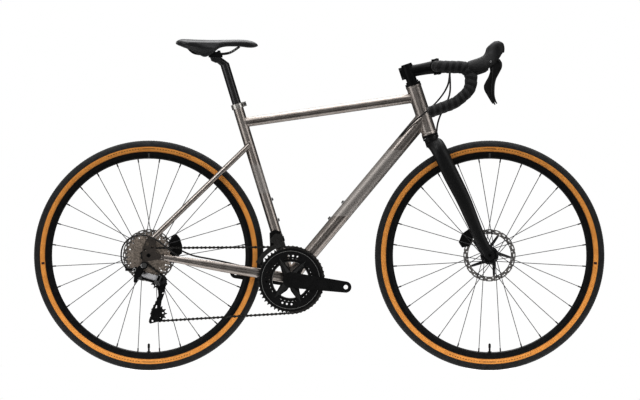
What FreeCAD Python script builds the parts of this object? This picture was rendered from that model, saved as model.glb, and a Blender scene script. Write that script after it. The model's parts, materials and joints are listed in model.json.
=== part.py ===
"""Road bicycle with drop bar, disc brakes and a two-by-twelve drivetrain.

+X is forward, +Y is the rider's left and +Z is up, in millimetres.
The origin is on the ground, midway between the two wheel axles.
"""
import FreeCAD
import Part
import Sketcher

import math
import os

from FreeCAD import Placement, Rotation, Vector

doc = FreeCAD.newDocument("road_bicycle")
os.makedirs("parts", exist_ok=True)

# ---------------------------------------------------------------- driving sizes
SIZES = {
    "wheelbase": 1043.0,
    "tyre_radius": 351.0,
    "tyre_width": 40.0,
    "rim_radius": 317.0,
    "rim_inner": 296.0,
    "rim_width": 25.0,
    "spoke_radius": 1.0,
    "rotor_radius": 80.0,
    "rotor_thick": 1.8,
    "front_rotor_y": 37.0,
    "rear_rotor_y": 51.0,
    "axle_radius": 6.0,
    "front_spacing": 50.0,
    "rear_spacing": 71.0,
    "bb_x": -87.4,
    "bb_z": 276.0,
    "shell_radius": 20.0,
    "shell_half": 34.0,
    "seat_angle": 73.0,
    "seat_tube_radius": 15.9,
    "seat_tube_length": 561.5,
    "post_radius": 13.6,
    "top_tube_radius": 14.5,
    "down_tube_radius": 22.25,
    "head_angle": 71.5,
    "head_tube_radius": 23.0,
    "head_tube_length": 158.0,
    "head_low_x": 338.1,
    "head_low_z": 721.2,
    "steerer_radius": 14.3,
    "seatstay_radius": 8.0,
    "crank_length": 170.0,
    "crank_droop": 7.3,
    "pedal_hole": 7.0,
    "chain_pitch": 12.7,
    "cog_pitch": 3.55,
    "small_cog_y": -64.0,
    "outer_ring_y": -49.0,
    "inner_ring_y": -41.5,
    "tooth_thick": 1.6,
    "bar_radius": 15.9,
    "grip_radius": 11.9,
    "tape_radius": 16.3,
    "bar_x": 359.0,
    "bar_z": 928.5,
    "rail_radius": 3.5,
    "hose_radius": 2.5,
    "cable_radius": 2.2,
    "fit_gap": 0.05,
    "seam_gap": 0.02,
}
sheet = doc.addObject("Spreadsheet::Sheet", "Sizes")
for row, (alias, size) in enumerate(SIZES.items(), start=1):
    sheet.set(f"A{row}", alias)
    sheet.set(f"B{row}", str(size))
    sheet.setAlias(f"B{row}", alias)
doc.recompute()


def size_of(alias):
    """The value that the sheet holds for one alias."""
    return float(sheet.get(alias))


WHEELBASE = size_of("wheelbase")
TYRE_R = size_of("tyre_radius")
FIT = size_of("fit_gap")
SEAM = size_of("seam_gap")
REAR_AXLE = Vector(-WHEELBASE / 2, 0, TYRE_R)
FRONT_AXLE = Vector(WHEELBASE / 2, 0, TYRE_R)
BB = Vector(size_of("bb_x"), 0, size_of("bb_z"))
LEFT = Vector(0, 1, 0)
nodes = {}


# ---------------------------------------------------------------- helpers
def keep(node, item):
    """Name a document object as one sub-part of the bicycle."""
    item.Label = node
    nodes[node] = item
    return item


def feature(node, shape, place=None):
    """A Part::Feature for a form that has no parametric feature of its own."""
    item = doc.addObject("Part::Feature", node + "_form")
    item.Shape = shape
    if place:
        item.Placement = place
    return keep(node, item)


def along(start, end):
    """Placement whose Z axis runs from start to end."""
    return Placement(start, Rotation(Vector(0, 0, 1), end - start))


def rod(start, end, radius, bore=0.0):
    """Round bar or tube from start to end."""
    run = end - start
    bar = Part.makeCylinder(radius, run.Length, start, run)
    if bore:
        extra = run.normalize() * 1.0
        bar = bar.cut(Part.makeCylinder(bore, (end - start).Length + 2, start - extra, run))
    return bar


def disc(x, z, radius, y_low, y_high, bore=0.0):
    """Flat disc or washer square to the Y axis."""
    plate = Part.makeCylinder(radius, y_high - y_low, Vector(x, y_low, z), LEFT)
    if bore:
        plate = plate.cut(Part.makeCylinder(bore, y_high - y_low + 2, Vector(x, y_low - 1, z), LEFT))
    return plate


def slab(outline, y_low, y_high):
    """Flat plate with an outline of (x, z) points, from y_low to y_high."""
    points = [Vector(x, y_low, z) for x, z in outline]
    return Part.Face(Part.makePolygon(points + points[:1])).extrude(Vector(0, y_high - y_low, 0))


def strap(first, second, y_low, y_high):
    """Plate with two round ends, each (x, z, radius), joined by tangents."""
    x1, z1, r1 = first
    x2, z2, r2 = second
    gap = math.hypot(x2 - x1, z2 - z1)
    heading = math.atan2(z2 - z1, x2 - x1)
    lean = math.acos((r1 - r2) / gap)
    corners = []
    for x, z, r, sign in ((x1, z1, r1, 1), (x2, z2, r2, 1), (x2, z2, r2, -1), (x1, z1, r1, -1)):
        turn = heading + sign * lean
        corners.append((x + r * math.cos(turn), z + r * math.sin(turn)))
    body = slab(corners, y_low, y_high)
    return body.fuse([disc(x1, z1, r1, y_low, y_high), disc(x2, z2, r2, y_low, y_high)]).removeSplitter()


def mirrored(shape):
    """The same shape on the other side of the bicycle."""
    return shape.mirror(Vector(0, 0, 0), LEFT)


def largest(shape):
    """The biggest solid that a cut leaves."""
    return max(shape.Solids, key=lambda solid: solid.Volume)


def pair(shape):
    """A right-hand shape with its left-hand twin."""
    return Part.makeCompound([shape, mirrored(shape)])


def oval(centre, normal, side, width, height):
    """Ellipse wire square to normal: width along side, height across it."""
    normal = Vector(normal).normalize()
    side = (side - normal * side.dot(normal)).normalize()
    up = normal.cross(side)
    rim = Part.Ellipse(Vector(0, 0, 0), max(width, height) / 2, min(width, height) / 2).toShape()
    first, second = (side, up) if width >= height else (up, -side)
    turn = Rotation(first, second, normal, "XYZ")
    rim.Placement = Placement(centre, turn)
    return Part.Wire([rim])


def loft(rings):
    """Smooth solid through a list of closed wires."""
    return Part.makeLoft(rings, True, False)


def rounded_path(points, radii=None):
    """Straight runs joined by tangent arcs; the arcs take their radius from their runs."""
    edges = []
    here = points[0]
    used = []
    for i in range(1, len(points) - 1):
        before = (points[i - 1] - points[i])
        after = (points[i + 1] - points[i])
        short = min(before.Length, after.Length)
        before.normalize()
        after.normalize()
        half = before.getAngle(after) / 2
        turn = math.pi - 2 * half
        radius = radii[i - 1] if radii else 0.45 * short / math.tan(turn / 2)
        used.append(radius)
        reach = radius / math.tan(half)
        start = points[i] + before * reach
        end = points[i] + after * reach
        inward = (before + after).normalize()
        middle = points[i] + inward * (radius / math.sin(half) - radius)
        edges.append(Part.LineSegment(here, start).toShape())
        edges.append(Part.Arc(start, middle, end).toShape())
        here = end
    edges.append(Part.LineSegment(here, points[-1]).toShape())
    return Part.Wire(edges), used


def hose(points, radius, label, radii=None):
    """Round cable or hose along a rounded path."""
    path, used = rounded_path(points, radii)
    start = path.Edges[0]
    heading = start.tangentAt(start.FirstParameter)
    ring = Part.Wire([Part.Circle(points[0], heading, radius).toShape()])
    tube = path.makePipeShell([ring], True, True)
    expected = math.pi * radius ** 2 * path.Length
    print(f"{label}: arcs {[round(r, 1) for r in used]}, length {path.Length:.0f},"
          f" volume ratio {tube.Volume / expected:.4f}")
    return tube


def turned(node, profile, centre, holes=(), axis=None):
    """PartDesign body turned about its own Y axis from (radius, y) points."""
    body = doc.addObject("PartDesign::Body", node)
    sketch = body.newObject("Sketcher::SketchObject", node + "_profile")
    plane = next(o for o in body.Origin.OriginFeatures if o.Role == "XY_Plane")
    sketch.AttachmentSupport = [(plane, "")]
    sketch.MapMode = "FlatFace"
    for loop in (profile,) + tuple(holes):
        draw_loop(sketch, loop)
    doc.recompute()
    spin = body.newObject("PartDesign::Revolution", node + "_turn")
    spin.Profile = sketch
    spin.ReferenceAxis = (sketch, ["V_Axis"])
    spin.Angle = 360
    body.Tip = spin
    turn = Rotation(LEFT, axis) if axis else Rotation()
    body.Placement = Placement(centre, turn)
    return keep(node, body)


def draw_loop(sketch, points):
    """Closed polygon whose corners are fixed by dimensions or by sheet expressions."""
    corners = []
    for corner in points:
        corners.append([sketch.evalExpression(v) if isinstance(v, str) else v for v in corner])
    first = sketch.GeometryCount
    count = len(corners)
    for i in range(count):
        a, b = corners[i], corners[(i + 1) % count]
        sketch.addGeometry(Part.LineSegment(Vector(a[0], a[1], 0), Vector(b[0], b[1], 0)))
    for i in range(count):
        follower = first + (i + 1) % count
        sketch.addConstraint(Sketcher.Constraint("Coincident", first + i, 2, follower, 1))
    for i, written in enumerate(points):
        for kind, formula, number, axis in zip(("DistanceX", "DistanceY"), written, corners[i], (-2, -1)):
            if abs(number) < 1e-9:
                sketch.addConstraint(Sketcher.Constraint("PointOnObject", first + i, 1, axis))
                continue
            made = sketch.addConstraint(Sketcher.Constraint(kind, -1, 1, first + i, 1, number))
            if isinstance(formula, str):
                sketch.setExpression(f"Constraints[{made}]", formula)


def cylinder(name, start, end, radius, extend=0.0):
    """Part::Cylinder between two points, its radius bound to the sheet."""
    item = doc.addObject("Part::Cylinder", name)
    item.setExpression("Radius", radius)
    run = (end - start).normalize()
    item.Height = (end - start).Length + 2 * extend
    item.Placement = along(start - run * extend, end)
    return item


def mitred_tube(node, start, end, radius, bore, neighbours):
    """Frame tube: a cylinder, less its bore and less the tubes it is mitred to."""
    outer = cylinder(node + "_outer", start, end, radius)
    inner = cylinder(node + "_bore", start, end, bore, extend=5)
    tube = doc.addObject("Part::Cut", node + "_hollow")
    tube.Base = outer
    tube.Tool = inner
    for i, neighbour in enumerate(neighbours):
        mitre = doc.addObject("Part::Cut", f"{node}_mitre_{i}")
        mitre.Base = tube
        mitre.Tool = neighbour
        tube = mitre
    return keep(node, tube)


def toothed(teeth, y_low, y_high, phase, centre, bore=0.0):
    """Sprocket plate; phase is the angle in degrees of one roller seat."""
    pitch_r = size_of("chain_pitch") / 2 / math.sin(math.pi / teeth)
    seat_r = 4.05
    tip_r = pitch_r + 2.6
    step = 2 * math.pi / teeth
    edges = []
    last = None
    first = None
    for k in range(teeth):
        middle = math.radians(phase) + k * step
        seat = Vector(pitch_r * math.cos(middle), 0, pitch_r * math.sin(middle))

        def on_seat(offset):
            heading = middle + math.pi + offset
            return seat + Vector(seat_r * math.cos(heading), 0, seat_r * math.sin(heading))

        open_half = math.radians(62)
        start, low, end = on_seat(open_half), on_seat(0), on_seat(-open_half)
        tip_half = 0.9 / tip_r
        tip_in = middle - step / 2 + tip_half
        tip_out = middle + step / 2 - tip_half
        tip_in = Vector(tip_r * math.cos(tip_in), 0, tip_r * math.sin(tip_in))
        tip_out = Vector(tip_r * math.cos(tip_out), 0, tip_r * math.sin(tip_out))
        if (start - tip_in).Length > (end - tip_in).Length:
            start, end = end, start
        if last is not None:
            edges.append(Part.LineSegment(last, tip_in).toShape())
        else:
            first = tip_in
        edges.append(Part.LineSegment(tip_in, start).toShape())
        edges.append(Part.Arc(start, low, end).toShape())
        edges.append(Part.LineSegment(end, tip_out).toShape())
        last = tip_out
    edges.append(Part.LineSegment(last, first).toShape())
    wire = Part.Wire(Part.__sortEdges__(edges))
    wire.translate(Vector(centre.x, y_low, centre.z))
    plate = Part.Face(wire).extrude(Vector(0, y_high - y_low, 0))
    if bore:
        plate = plate.cut(Part.makeCylinder(bore, y_high - y_low + 2,
                                            Vector(centre.x, y_low - 1, centre.z), LEFT))
    return plate


def pitch_radius(teeth):
    return size_of("chain_pitch") / 2 / math.sin(math.pi / teeth)


def polar(centre, radius, degrees, y=0.0):
    """Point on a circle square to the Y axis, angle counted from +X towards +Z."""
    turn = math.radians(degrees)
    return Vector(centre.x + radius * math.cos(turn), y, centre.z + radius * math.sin(turn))


# ---------------------------------------------------------------- frame lines
seat_turn = math.radians(size_of("seat_angle"))
SEAT_UP = Vector(-math.cos(seat_turn), 0, math.sin(seat_turn))
seat_top = BB + SEAT_UP * size_of("seat_tube_length")
head_turn = math.radians(size_of("head_angle"))
HEAD_UP = Vector(-math.cos(head_turn), 0, math.sin(head_turn))
head_low = Vector(size_of("head_low_x"), 0, size_of("head_low_z"))
head_top = head_low + HEAD_UP * size_of("head_tube_length")
top_tube_rear = Vector(-234.3, 0, 756.9)
top_tube_front = Vector(300.3, 0, 834.2)
down_tube_low = Vector(-95.0, 0, 276.0)
down_tube_high = Vector(320.6, 0, 773.4)
stay_top = Vector(-214.0, -13.5, 689.0)
stay_bend = Vector(-268.0, -30.0, 636.8)
stay_low = Vector(-508.6, -69.0, 404.0)


def frame_tubes():
    shell_bore = "Sizes.shell_radius + Sizes.seam_gap"
    shell_solid = cylinder("shell_solid", BB - LEFT * 34, BB + LEFT * 34, shell_bore)
    seat_solid = cylinder("seat_solid", BB, seat_top, "Sizes.seat_tube_radius + Sizes.seam_gap", extend=2)
    head_bore = "Sizes.head_tube_radius + Sizes.seam_gap"
    head_solid = cylinder("head_solid", head_low, head_top, head_bore, extend=9)
    down_bore = "Sizes.down_tube_radius + Sizes.seam_gap"
    down_solid = cylinder("down_solid", down_tube_low, down_tube_high, down_bore)
    turned("head_tube", [
        ("Sizes.steerer_radius + 2.7", 0), ("Sizes.head_tube_radius + 1.2", 0),
        ("Sizes.head_tube_radius + 1.2", 5), ("Sizes.head_tube_radius", 7),
        ("Sizes.head_tube_radius", "Sizes.head_tube_length - 7"),
        ("Sizes.head_tube_radius + 1.2", "Sizes.head_tube_length - 5"),
        ("Sizes.head_tube_radius + 1.2", "Sizes.head_tube_length"),
        ("Sizes.steerer_radius + 2.7", "Sizes.head_tube_length"),
    ], head_low, axis=HEAD_UP)
    mitred_tube("seat_tube", BB, seat_top, "Sizes.seat_tube_radius",
                "Sizes.post_radius + Sizes.fit_gap", [shell_solid, down_solid])
    mitred_tube("top_tube", top_tube_rear, top_tube_front, "Sizes.top_tube_radius",
                "Sizes.top_tube_radius - 1", [seat_solid, head_solid])
    mitred_tube("down_tube", down_tube_low, down_tube_high, "Sizes.down_tube_radius",
                "Sizes.down_tube_radius - 1", [shell_solid, head_solid])
    turned("bottom_bracket_shell", [
        ("Sizes.shell_radius - 3", "-Sizes.shell_half"), ("Sizes.shell_radius - 0.5", "-Sizes.shell_half"),
        ("Sizes.shell_radius", "-Sizes.shell_half + 0.5"), ("Sizes.shell_radius", "Sizes.shell_half - 0.5"),
        ("Sizes.shell_radius - 0.5", "Sizes.shell_half"), ("Sizes.shell_radius - 3", "Sizes.shell_half"),
    ], BB)


# x, distance from the middle plane, z, height and width of the oval stay
CHAINSTAY = [
    (-84.0, 23.5, 279.0, 31.0, 15.0),
    (-125.0, 26.5, 287.0, 31.0, 15.5),
    (-170.0, 32.0, 294.5, 31.0, 15.5),
    (-286.8, 45.0, 313.4, 29.0, 16.5),
    (-378.2, 57.0, 328.7, 24.0, 15.0),
    (-441.0, 66.5, 339.0, 19.0, 13.0),
    (-484.0, 73.5, 346.0, 17.0, 12.0),
]


def chainstay_solid(extra=0.0):
    """The right-hand stay, or a copy grown by extra all round."""
    rings = []
    for i, (x, y, z, height, width) in enumerate(CHAINSTAY):
        before = CHAINSTAY[max(i - 1, 0)]
        after = CHAINSTAY[min(i + 1, len(CHAINSTAY) - 1)]
        heading = Vector(after[0] - before[0], before[1] - after[1], after[2] - before[2])
        rings.append(oval(Vector(x, -y, z), heading, LEFT, width + 2 * extra, height + 2 * extra))
    return loft(rings)


def rear_end():
    """Stays, dropouts and the hanger that carries the rear derailleur."""
    shell = rod(BB - LEFT * 60, BB + LEFT * 60, size_of("shell_radius") + SEAM)
    seat = rod(BB, seat_top, size_of("seat_tube_radius") + SEAM)
    down = rod(down_tube_low, down_tube_high, size_of("down_tube_radius") + SEAM)
    chainstay = chainstay_solid().cut(shell).cut(seat).cut(down)
    feature("chainstays", pair(chainstay))
    stay_run = [stay_top, stay_bend, stay_low]
    seatstay = hose(stay_run, size_of("seatstay_radius"), "seatstay", radii=[200.0]).cut(seat)
    feature("seatstays", pair(seatstay))
    x, z = REAR_AXLE.x, REAR_AXLE.z
    plate = slab([
        (x + 20, z + 53), (x + 1, z + 57), (x - 6, z + 50), (x - 18, z + 24), (x - 19, z + 4),
        (x - 17, z - 12), (x - 8, z - 17), (x + 6, z - 17), (x + 22, z - 13), (x + 47, z - 13),
        (x + 47, z + 3), (x + 26, z + 6), (x + 22, z + 14), (x + 24, z + 44),
    ], -78, -71)
    holes = [disc(x, z, size_of("axle_radius") + FIT, -80, -69)]
    for hole_x, hole_z, radius in ((x - 3, z + 35, 5.5), (x - 10, z + 17, 4.0), (x + 12, z + 26, 4.5)):
        holes.append(disc(hole_x, hole_z, radius, -80, -69))
    plate = plate.cut(holes)
    grown = rod(stay_bend, stay_low + (stay_low - stay_bend).normalize() * 3,
                size_of("seatstay_radius") + SEAM)
    plate = plate.cut(grown).cut(chainstay_solid())
    plate = largest(plate)
    hanger = slab([
        (x - 19.3, z - 12.3), (x - 8.3, z - 17.6), (x - 2, z - 17.6), (x - 4, z - 30),
        (x - 9, z - 38), (x - 17, z - 38), (x - 22, z - 30),
    ], -78, -71)
    hanger = hanger.cut(disc(x - 13, z - 30, 5.0 + SEAM, -80, -69))
    feature("dropouts", Part.makeCompound([plate, hanger, mirrored(plate)]))


def bottle_bosses():
    """Seat clamp, the four bottle bolts and the derailleur's mounting bolt."""
    low = seat_top - SEAT_UP * 13
    ring = rod(low, seat_top + SEAT_UP * 2, 19.0)
    ring = ring.cut(rod(low - SEAT_UP, seat_top + SEAT_UP * 3, size_of("seat_tube_radius") + SEAM))
    lug_at = low + SEAT_UP * 7.5
    across = SEAT_UP.cross(LEFT)
    lug = Part.makeBox(12, 15, 14, Vector(-6, -7.5, -7))
    lug.Placement = Placement(lug_at - across * 22, Rotation(across, LEFT, SEAT_UP, "XYZ"))
    lug = lug.cut(rod(low - SEAT_UP, seat_top + SEAT_UP * 3, size_of("seat_tube_radius") + SEAM))
    slot = Part.makeBox(20, 1.6, 20, Vector(-14, -0.8, -10))
    slot.Placement = Placement(lug_at - across * 22, Rotation(across, LEFT, SEAT_UP, "XYZ"))
    bolt_line = lug_at - across * 23.5
    clamp = ring.fuse(lug).cut(slot)
    clamp = clamp.cut(rod(bolt_line - LEFT * 9, bolt_line + LEFT * 9, 2.5 + SEAM))
    feature("seat_clamp", clamp)
    bolts = [rod(bolt_line - LEFT * 8, bolt_line + LEFT * 8, 2.5)]
    bolts[0] = bolts[0].fuse(rod(bolt_line - LEFT * 11, bolt_line - LEFT * (7.5 + SEAM), 4.2))
    down_run = (down_tube_high - down_tube_low).normalize()
    down_out = Vector(-down_run.z, 0, down_run.x)
    for z in (518.0, 455.0):
        foot = BB + SEAT_UP * ((z - BB.z) / SEAT_UP.z)
        out = SEAT_UP.cross(LEFT) * -1
        bolts.append(boss(foot, out, size_of("seat_tube_radius")))
    for x in (91.0, 50.0):
        foot = down_tube_low + down_run * ((x - down_tube_low.x) / down_run.x)
        bolts.append(boss(foot, down_out, size_of("down_tube_radius")))
    axle = Vector(REAR_AXLE.x - 13, 0, REAR_AXLE.z - 30)
    pivot = disc(axle.x, axle.z, 5.0, -92, -70)
    bolts.append(pivot.fuse(disc(axle.x, axle.z, 8.0, -95, -91.9)).cut(disc(axle.x, axle.z, 2.6, -96, -90)))
    feature("frame_bolts", Part.makeCompound(bolts))


def boss(foot, out, tube_radius):
    """Threaded boss ring and bolt head that stand on a tube's surface."""
    start = foot + out * (tube_radius + 0.6)
    head = rod(start, start + out * 5, 4.5).fuse(rod(start, start + out * 1.5, 6.5))
    return head.cut(rod(start + out * 3, start + out * 6, 2.0))


def bearing_cups():
    """Two headset cups and two bottom bracket cups."""
    bore = size_of("steerer_radius") + FIT
    upper = rod(head_top + HEAD_UP * SEAM, head_top + HEAD_UP * 8, 23.5, bore)
    lower = rod(head_low - HEAD_UP * 8, head_low - HEAD_UP * SEAM, 24.5, bore)
    cups = [upper, lower]
    for side in (-1, 1):
        inner, edge, outer = 24 * side, (34 + SEAM) * side, 45 * side
        body = disc(BB.x, BB.z, 17 - SEAM, min(inner, edge), max(inner, edge))
        flange = disc(BB.x, BB.z, 21.5, min(edge, outer), max(edge, outer))
        bore_cut = disc(BB.x, BB.z, 12.0 + FIT, -50, 50)
        cups.append(body.fuse(flange).cut(bore_cut))
    feature("bearing_cups", Part.makeCompound(cups))


# ---------------------------------------------------------------- wheels
BEAD_TURN = 138.0  # degrees from the crown of the tyre down to its bead


def tyre(node, centre):
    half = size_of("tyre_width") / 2
    middle = TYRE_R - half
    outer = []
    inner = []
    for i in range(17):
        turn = math.radians(BEAD_TURN * (i / 8 - 1))
        outer.append((middle + half * math.cos(turn), half * math.sin(turn)))
        inner.append((middle + (half - 2.6) * math.cos(turn), (half - 2.6) * math.sin(turn)))
    turned(node, outer + inner[::-1], centre)


def rim(node, centre):
    half = "Sizes.rim_width / 2"
    turned(node, [
        ("Sizes.rim_radius", f"-{half}"), ("Sizes.rim_radius", f"-{half} + 1.6"),
        ("Sizes.rim_radius - 6.5", f"-{half} + 2"), ("Sizes.rim_radius - 8", "-4"),
        ("Sizes.rim_radius - 8", "4"), ("Sizes.rim_radius - 6.5", f"{half} - 2"),
        ("Sizes.rim_radius", f"{half} - 1.6"), ("Sizes.rim_radius", half),
        ("Sizes.rim_radius - 10", half), ("Sizes.rim_inner + 3", "10"),
        ("Sizes.rim_inner", "5"), ("Sizes.rim_inner", "-5"),
        ("Sizes.rim_inner + 3", "-10"), ("Sizes.rim_radius - 10", f"-{half}"),
    ], centre, holes=[[
        ("Sizes.rim_radius - 10", "-9.5"), ("Sizes.rim_radius - 10", "9.5"),
        ("Sizes.rim_inner + 4.5", "8"), ("Sizes.rim_inner + 2", "4"),
        ("Sizes.rim_inner + 2", "-4"), ("Sizes.rim_inner + 4.5", "-8"),
    ]])


def spokes(node, centre, flanges, start_angle):
    """Two-cross lacing: half the spokes of each flange lead and half trail."""
    count = 28
    made = []
    rim_r = size_of("rim_inner") - 0.3
    for k in range(count):
        side = -1 if k % 2 else 1
        flange_y, flange_r = flanges[0] if side < 0 else flanges[1]
        pair_index = k // 2
        lead = 1 if pair_index % 2 else -1
        rim_angle = start_angle + k * 360 / count
        hub_angle = rim_angle + lead * 51.4
        hub_end = polar(centre, flange_r, hub_angle, flange_y + lead * 3.1)
        rim_end = polar(centre, rim_r, rim_angle, side * 2.0)
        run = (rim_end - hub_end).normalize()
        wire = rod(hub_end, rim_end, size_of("spoke_radius"))
        nipple = rod(rim_end - run * 10, rim_end, 1.9)
        made.append(wire.fuse(nipple))
    feature(node, Part.makeCompound(made))


def front_hub():
    turned("front_hub", [
        ("Sizes.axle_radius + Sizes.fit_gap", "-Sizes.front_spacing + 0.4"),
        (9, "-Sizes.front_spacing + 0.4"),
        (9, -44), (13, -43), (14, -34.6), (22, -34.4), (22, -31.6), (14, -31.4), (12.5, -26), (12.5, 16),
        (14, 20.4), (23, 20.6), (23, 23.4), (17, 23.6), (17, 39), (9, 40), (9, "Sizes.front_spacing - 0.4"),
        ("Sizes.axle_radius + Sizes.fit_gap", "Sizes.front_spacing - 0.4"),
    ], FRONT_AXLE)


def rear_hub():
    turned("rear_hub", [
        ("Sizes.axle_radius + Sizes.fit_gap", "-Sizes.rear_spacing + 0.4"),
        (9, "-Sizes.rear_spacing + 0.4"),
        (9, -23.2), (17, -22.6), (17, -20.6), (24, -20.4), (24, -17.6), (17, -17.4), (15, -10), (15, 26),
        (17, 32.4), (24, 32.6), (24, 35.4), (18, 35.6), (18, 53), (9, 53.5),
        (9, "Sizes.rear_spacing - 0.4"),
        ("Sizes.axle_radius + Sizes.fit_gap", "Sizes.rear_spacing - 0.4"),
    ], REAR_AXLE)


def rotor(node, centre, y, bore):
    """Steel brake ring with windows, on a five-armed centre carrier."""
    radius = size_of("rotor_radius")
    low, high = y - size_of("rotor_thick") / 2, y + size_of("rotor_thick") / 2
    ring = disc(centre.x, centre.z, radius, low, high, radius - 14.5)
    cuts = []
    for k in range(20):
        turn = 18 * k
        a = polar(centre, radius - 5.2, turn - 2.4)
        b = polar(centre, radius - 5.2, turn + 2.4)
        cuts.append(strap((a.x, a.z, 1.7), (b.x, b.z, 1.69), low - 1, high + 1))
        hole = polar(centre, radius - 10.2, turn + 9)
        cuts.append(disc(hole.x, hole.z, 1.9, low - 1, high + 1))
        notch = polar(centre, radius + 3.2, turn + 9)
        cuts.append(disc(notch.x, notch.z, 4.6, low - 1, high + 1))
    ring = ring.cut(cuts)
    arms = [disc(centre.x, centre.z, bore + 11, low - 1.5, high + 1.5)]
    for k in range(5):
        root = polar(centre, bore + 6, 72 * k + 18)
        tip = polar(centre, radius - 14.0, 72 * k - 6)
        arms.append(strap((root.x, root.z, 5.0), (tip.x, tip.z, 3.2), low, high))
    carrier = arms[0].fuse(arms[1:]).cut(disc(centre.x, centre.z, bore, low - 3, high + 3))
    whole = ring.fuse(carrier).removeSplitter()
    feature(node, whole)


def thru_axles():
    for node, centre, spacing, wall in (
            ("front_thru_axle", FRONT_AXLE, size_of("front_spacing"), 17.0),
            ("rear_thru_axle", REAR_AXLE, size_of("rear_spacing"), 7.0)):
        end = spacing + wall
        bar = disc(centre.x, centre.z, size_of("axle_radius"), -end - 1.5, end + 0.5)
        head = disc(centre.x, centre.z, 8.5, end + 0.4, end + 4.5)
        bar = bar.fuse(head).cut(disc(centre.x, centre.z, 3.0, end - 4, end + 6))
        feature(node, bar.cut(disc(centre.x, centre.z, 3.5, -end - 3, -end + 6)))


# ---------------------------------------------------------------- drivetrain
COGS = (11, 12, 13, 14, 15, 17, 19, 21, 24, 27, 30, 34)
GUIDE = Vector(-490.0, 0, 270.3)
TENSION_X = -488.5
TENSION_Z = 173.3
PULLEY_TEETH = 11
RING_TEETH = 50
SMALL_RING_TEETH = 34


def tangent_points(c1, r1, side1, c2, r2, side2):
    """Where a belt leaves circle 1 and meets circle 2; side +1 is left of the travel."""
    run = c2 - c1
    gap = math.hypot(run.x, run.z)
    heading = math.atan2(run.z, run.x)
    lean = math.asin((side1 * r1 - side2 * r2) / gap)
    normal = heading + lean + math.pi / 2
    off1 = Vector(math.cos(normal), 0, math.sin(normal)) * (-side1 * r1)
    off2 = Vector(math.cos(normal), 0, math.sin(normal)) * (-side2 * r2)
    return c1 + off1, c2 + off2


def chain_track(tension):
    """The chain's centre line as straight and round stretches, from the ring's top."""
    ring_r, cog_r, pulley_r = pitch_radius(RING_TEETH), pitch_radius(COGS[0]), pitch_radius(PULLEY_TEETH)
    ring_y, cog_y = size_of("outer_ring_y"), size_of("small_cog_y")
    wheels = [
        (BB, ring_r, 1, ring_y), (REAR_AXLE, cog_r, 1, cog_y),
        (GUIDE, pulley_r, -1, cog_y), (tension, pulley_r, 1, cog_y),
    ]
    touches = []
    for i in range(4):
        c1, r1, s1, _ = wheels[i]
        c2, r2, s2, _ = wheels[(i + 1) % 4]
        touches.append(tangent_points(c1, r1, s1, c2, r2, s2))
    return wheels, touches


def track_angle(centre, point):
    return math.atan2(point.z - centre.z, point.x - centre.x)


def chain_points(tension):
    """Roller centres, one chain pitch apart, and the gap left when the loop closes."""
    wheels, touches = chain_track(tension)
    stretches = []
    for i in range(4):
        centre, radius, side, y = wheels[i]
        arrive = track_angle(centre, touches[i - 1][1])
        leave = track_angle(centre, touches[i][0])
        sweep = (leave - arrive) % (2 * math.pi)
        if side < 0:
            sweep -= 2 * math.pi
        stretches.append(("arc", centre, radius, arrive, sweep, y))
        start, end = touches[i]
        stretches.append(("line", start, end, y, wheels[(i + 1) % 4][3]))
    pitch = size_of("chain_pitch")
    samples = []
    for part in stretches:
        if part[0] == "arc":
            _, centre, radius, arrive, sweep, y = part
            steps = max(2, int(abs(sweep) * radius / 0.5))
            for k in range(steps):
                turn = arrive + sweep * k / steps
                samples.append(Vector(centre.x + radius * math.cos(turn), y,
                                      centre.z + radius * math.sin(turn)))
        else:
            _, start, end, y1, y2 = part
            steps = int((end - start).Length / 0.5)
            for k in range(steps):
                share = k / steps
                spot = start + (end - start) * share
                slant = min(max((share - 0.06) / 0.88, 0.0), 1.0)
                slant = slant * slant * (3 - 2 * slant)
                samples.append(Vector(spot.x, y1 + (y2 - y1) * slant, spot.z))
    return walk(samples, pitch)


def walk(samples, pitch):
    """Step along a closed run of samples in equal chords."""
    rollers = [samples[0]]
    count = len(samples)
    i = 1
    while i < count:
        if (samples[i] - rollers[-1]).Length >= pitch:
            a, b = samples[i - 1], samples[i]
            low, high = 0.0, 1.0
            for _ in range(30):
                mid = (low + high) / 2
                if ((a + (b - a) * mid) - rollers[-1]).Length < pitch:
                    low = mid
                else:
                    high = mid
            rollers.append(a + (b - a) * high)
            continue
        i += 1
    gap = (rollers[0] - rollers[-1]).Length
    return rollers, gap


def closed_chain():
    """Swing the tension pulley until the chain has a whole and even count of links."""
    best = None
    middle = TENSION_X
    for step in (0.5, 0.05, 0.01):
        for k in range(-15, 16):
            tension = Vector(middle + k * step, 0, TENSION_Z)
            rollers, gap = chain_points(tension)
            error = abs(gap - size_of("chain_pitch"))
            if len(rollers) % 2 == 0 and (best is None or error < best[0]):
                best = (error, tension, rollers)
        middle = best[1].x
    print(f"chain: {len(best[2])} links, closing error {best[0]:.3f} mm, tension pulley x {best[1].x:.2f}")
    return best[1], best[2]


def link_plate(y_low, y_high, waist, bore=0.0):
    """Side plate of one link along +X, pins at 0 and one pitch."""
    pitch = size_of("chain_pitch")
    ends = [disc(x, 0, 4.1, y_low, y_high) for x in (0, pitch)]
    middle = slab([(0, -waist), (pitch, -waist), (pitch, waist), (0, waist)], y_low, y_high)
    plate = ends[0].fuse([ends[1], middle])
    if bore:
        plate = plate.cut([disc(x, 0, bore, y_low - 1, y_high + 1) for x in (0, pitch)])
    return plate.removeSplitter()


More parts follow.
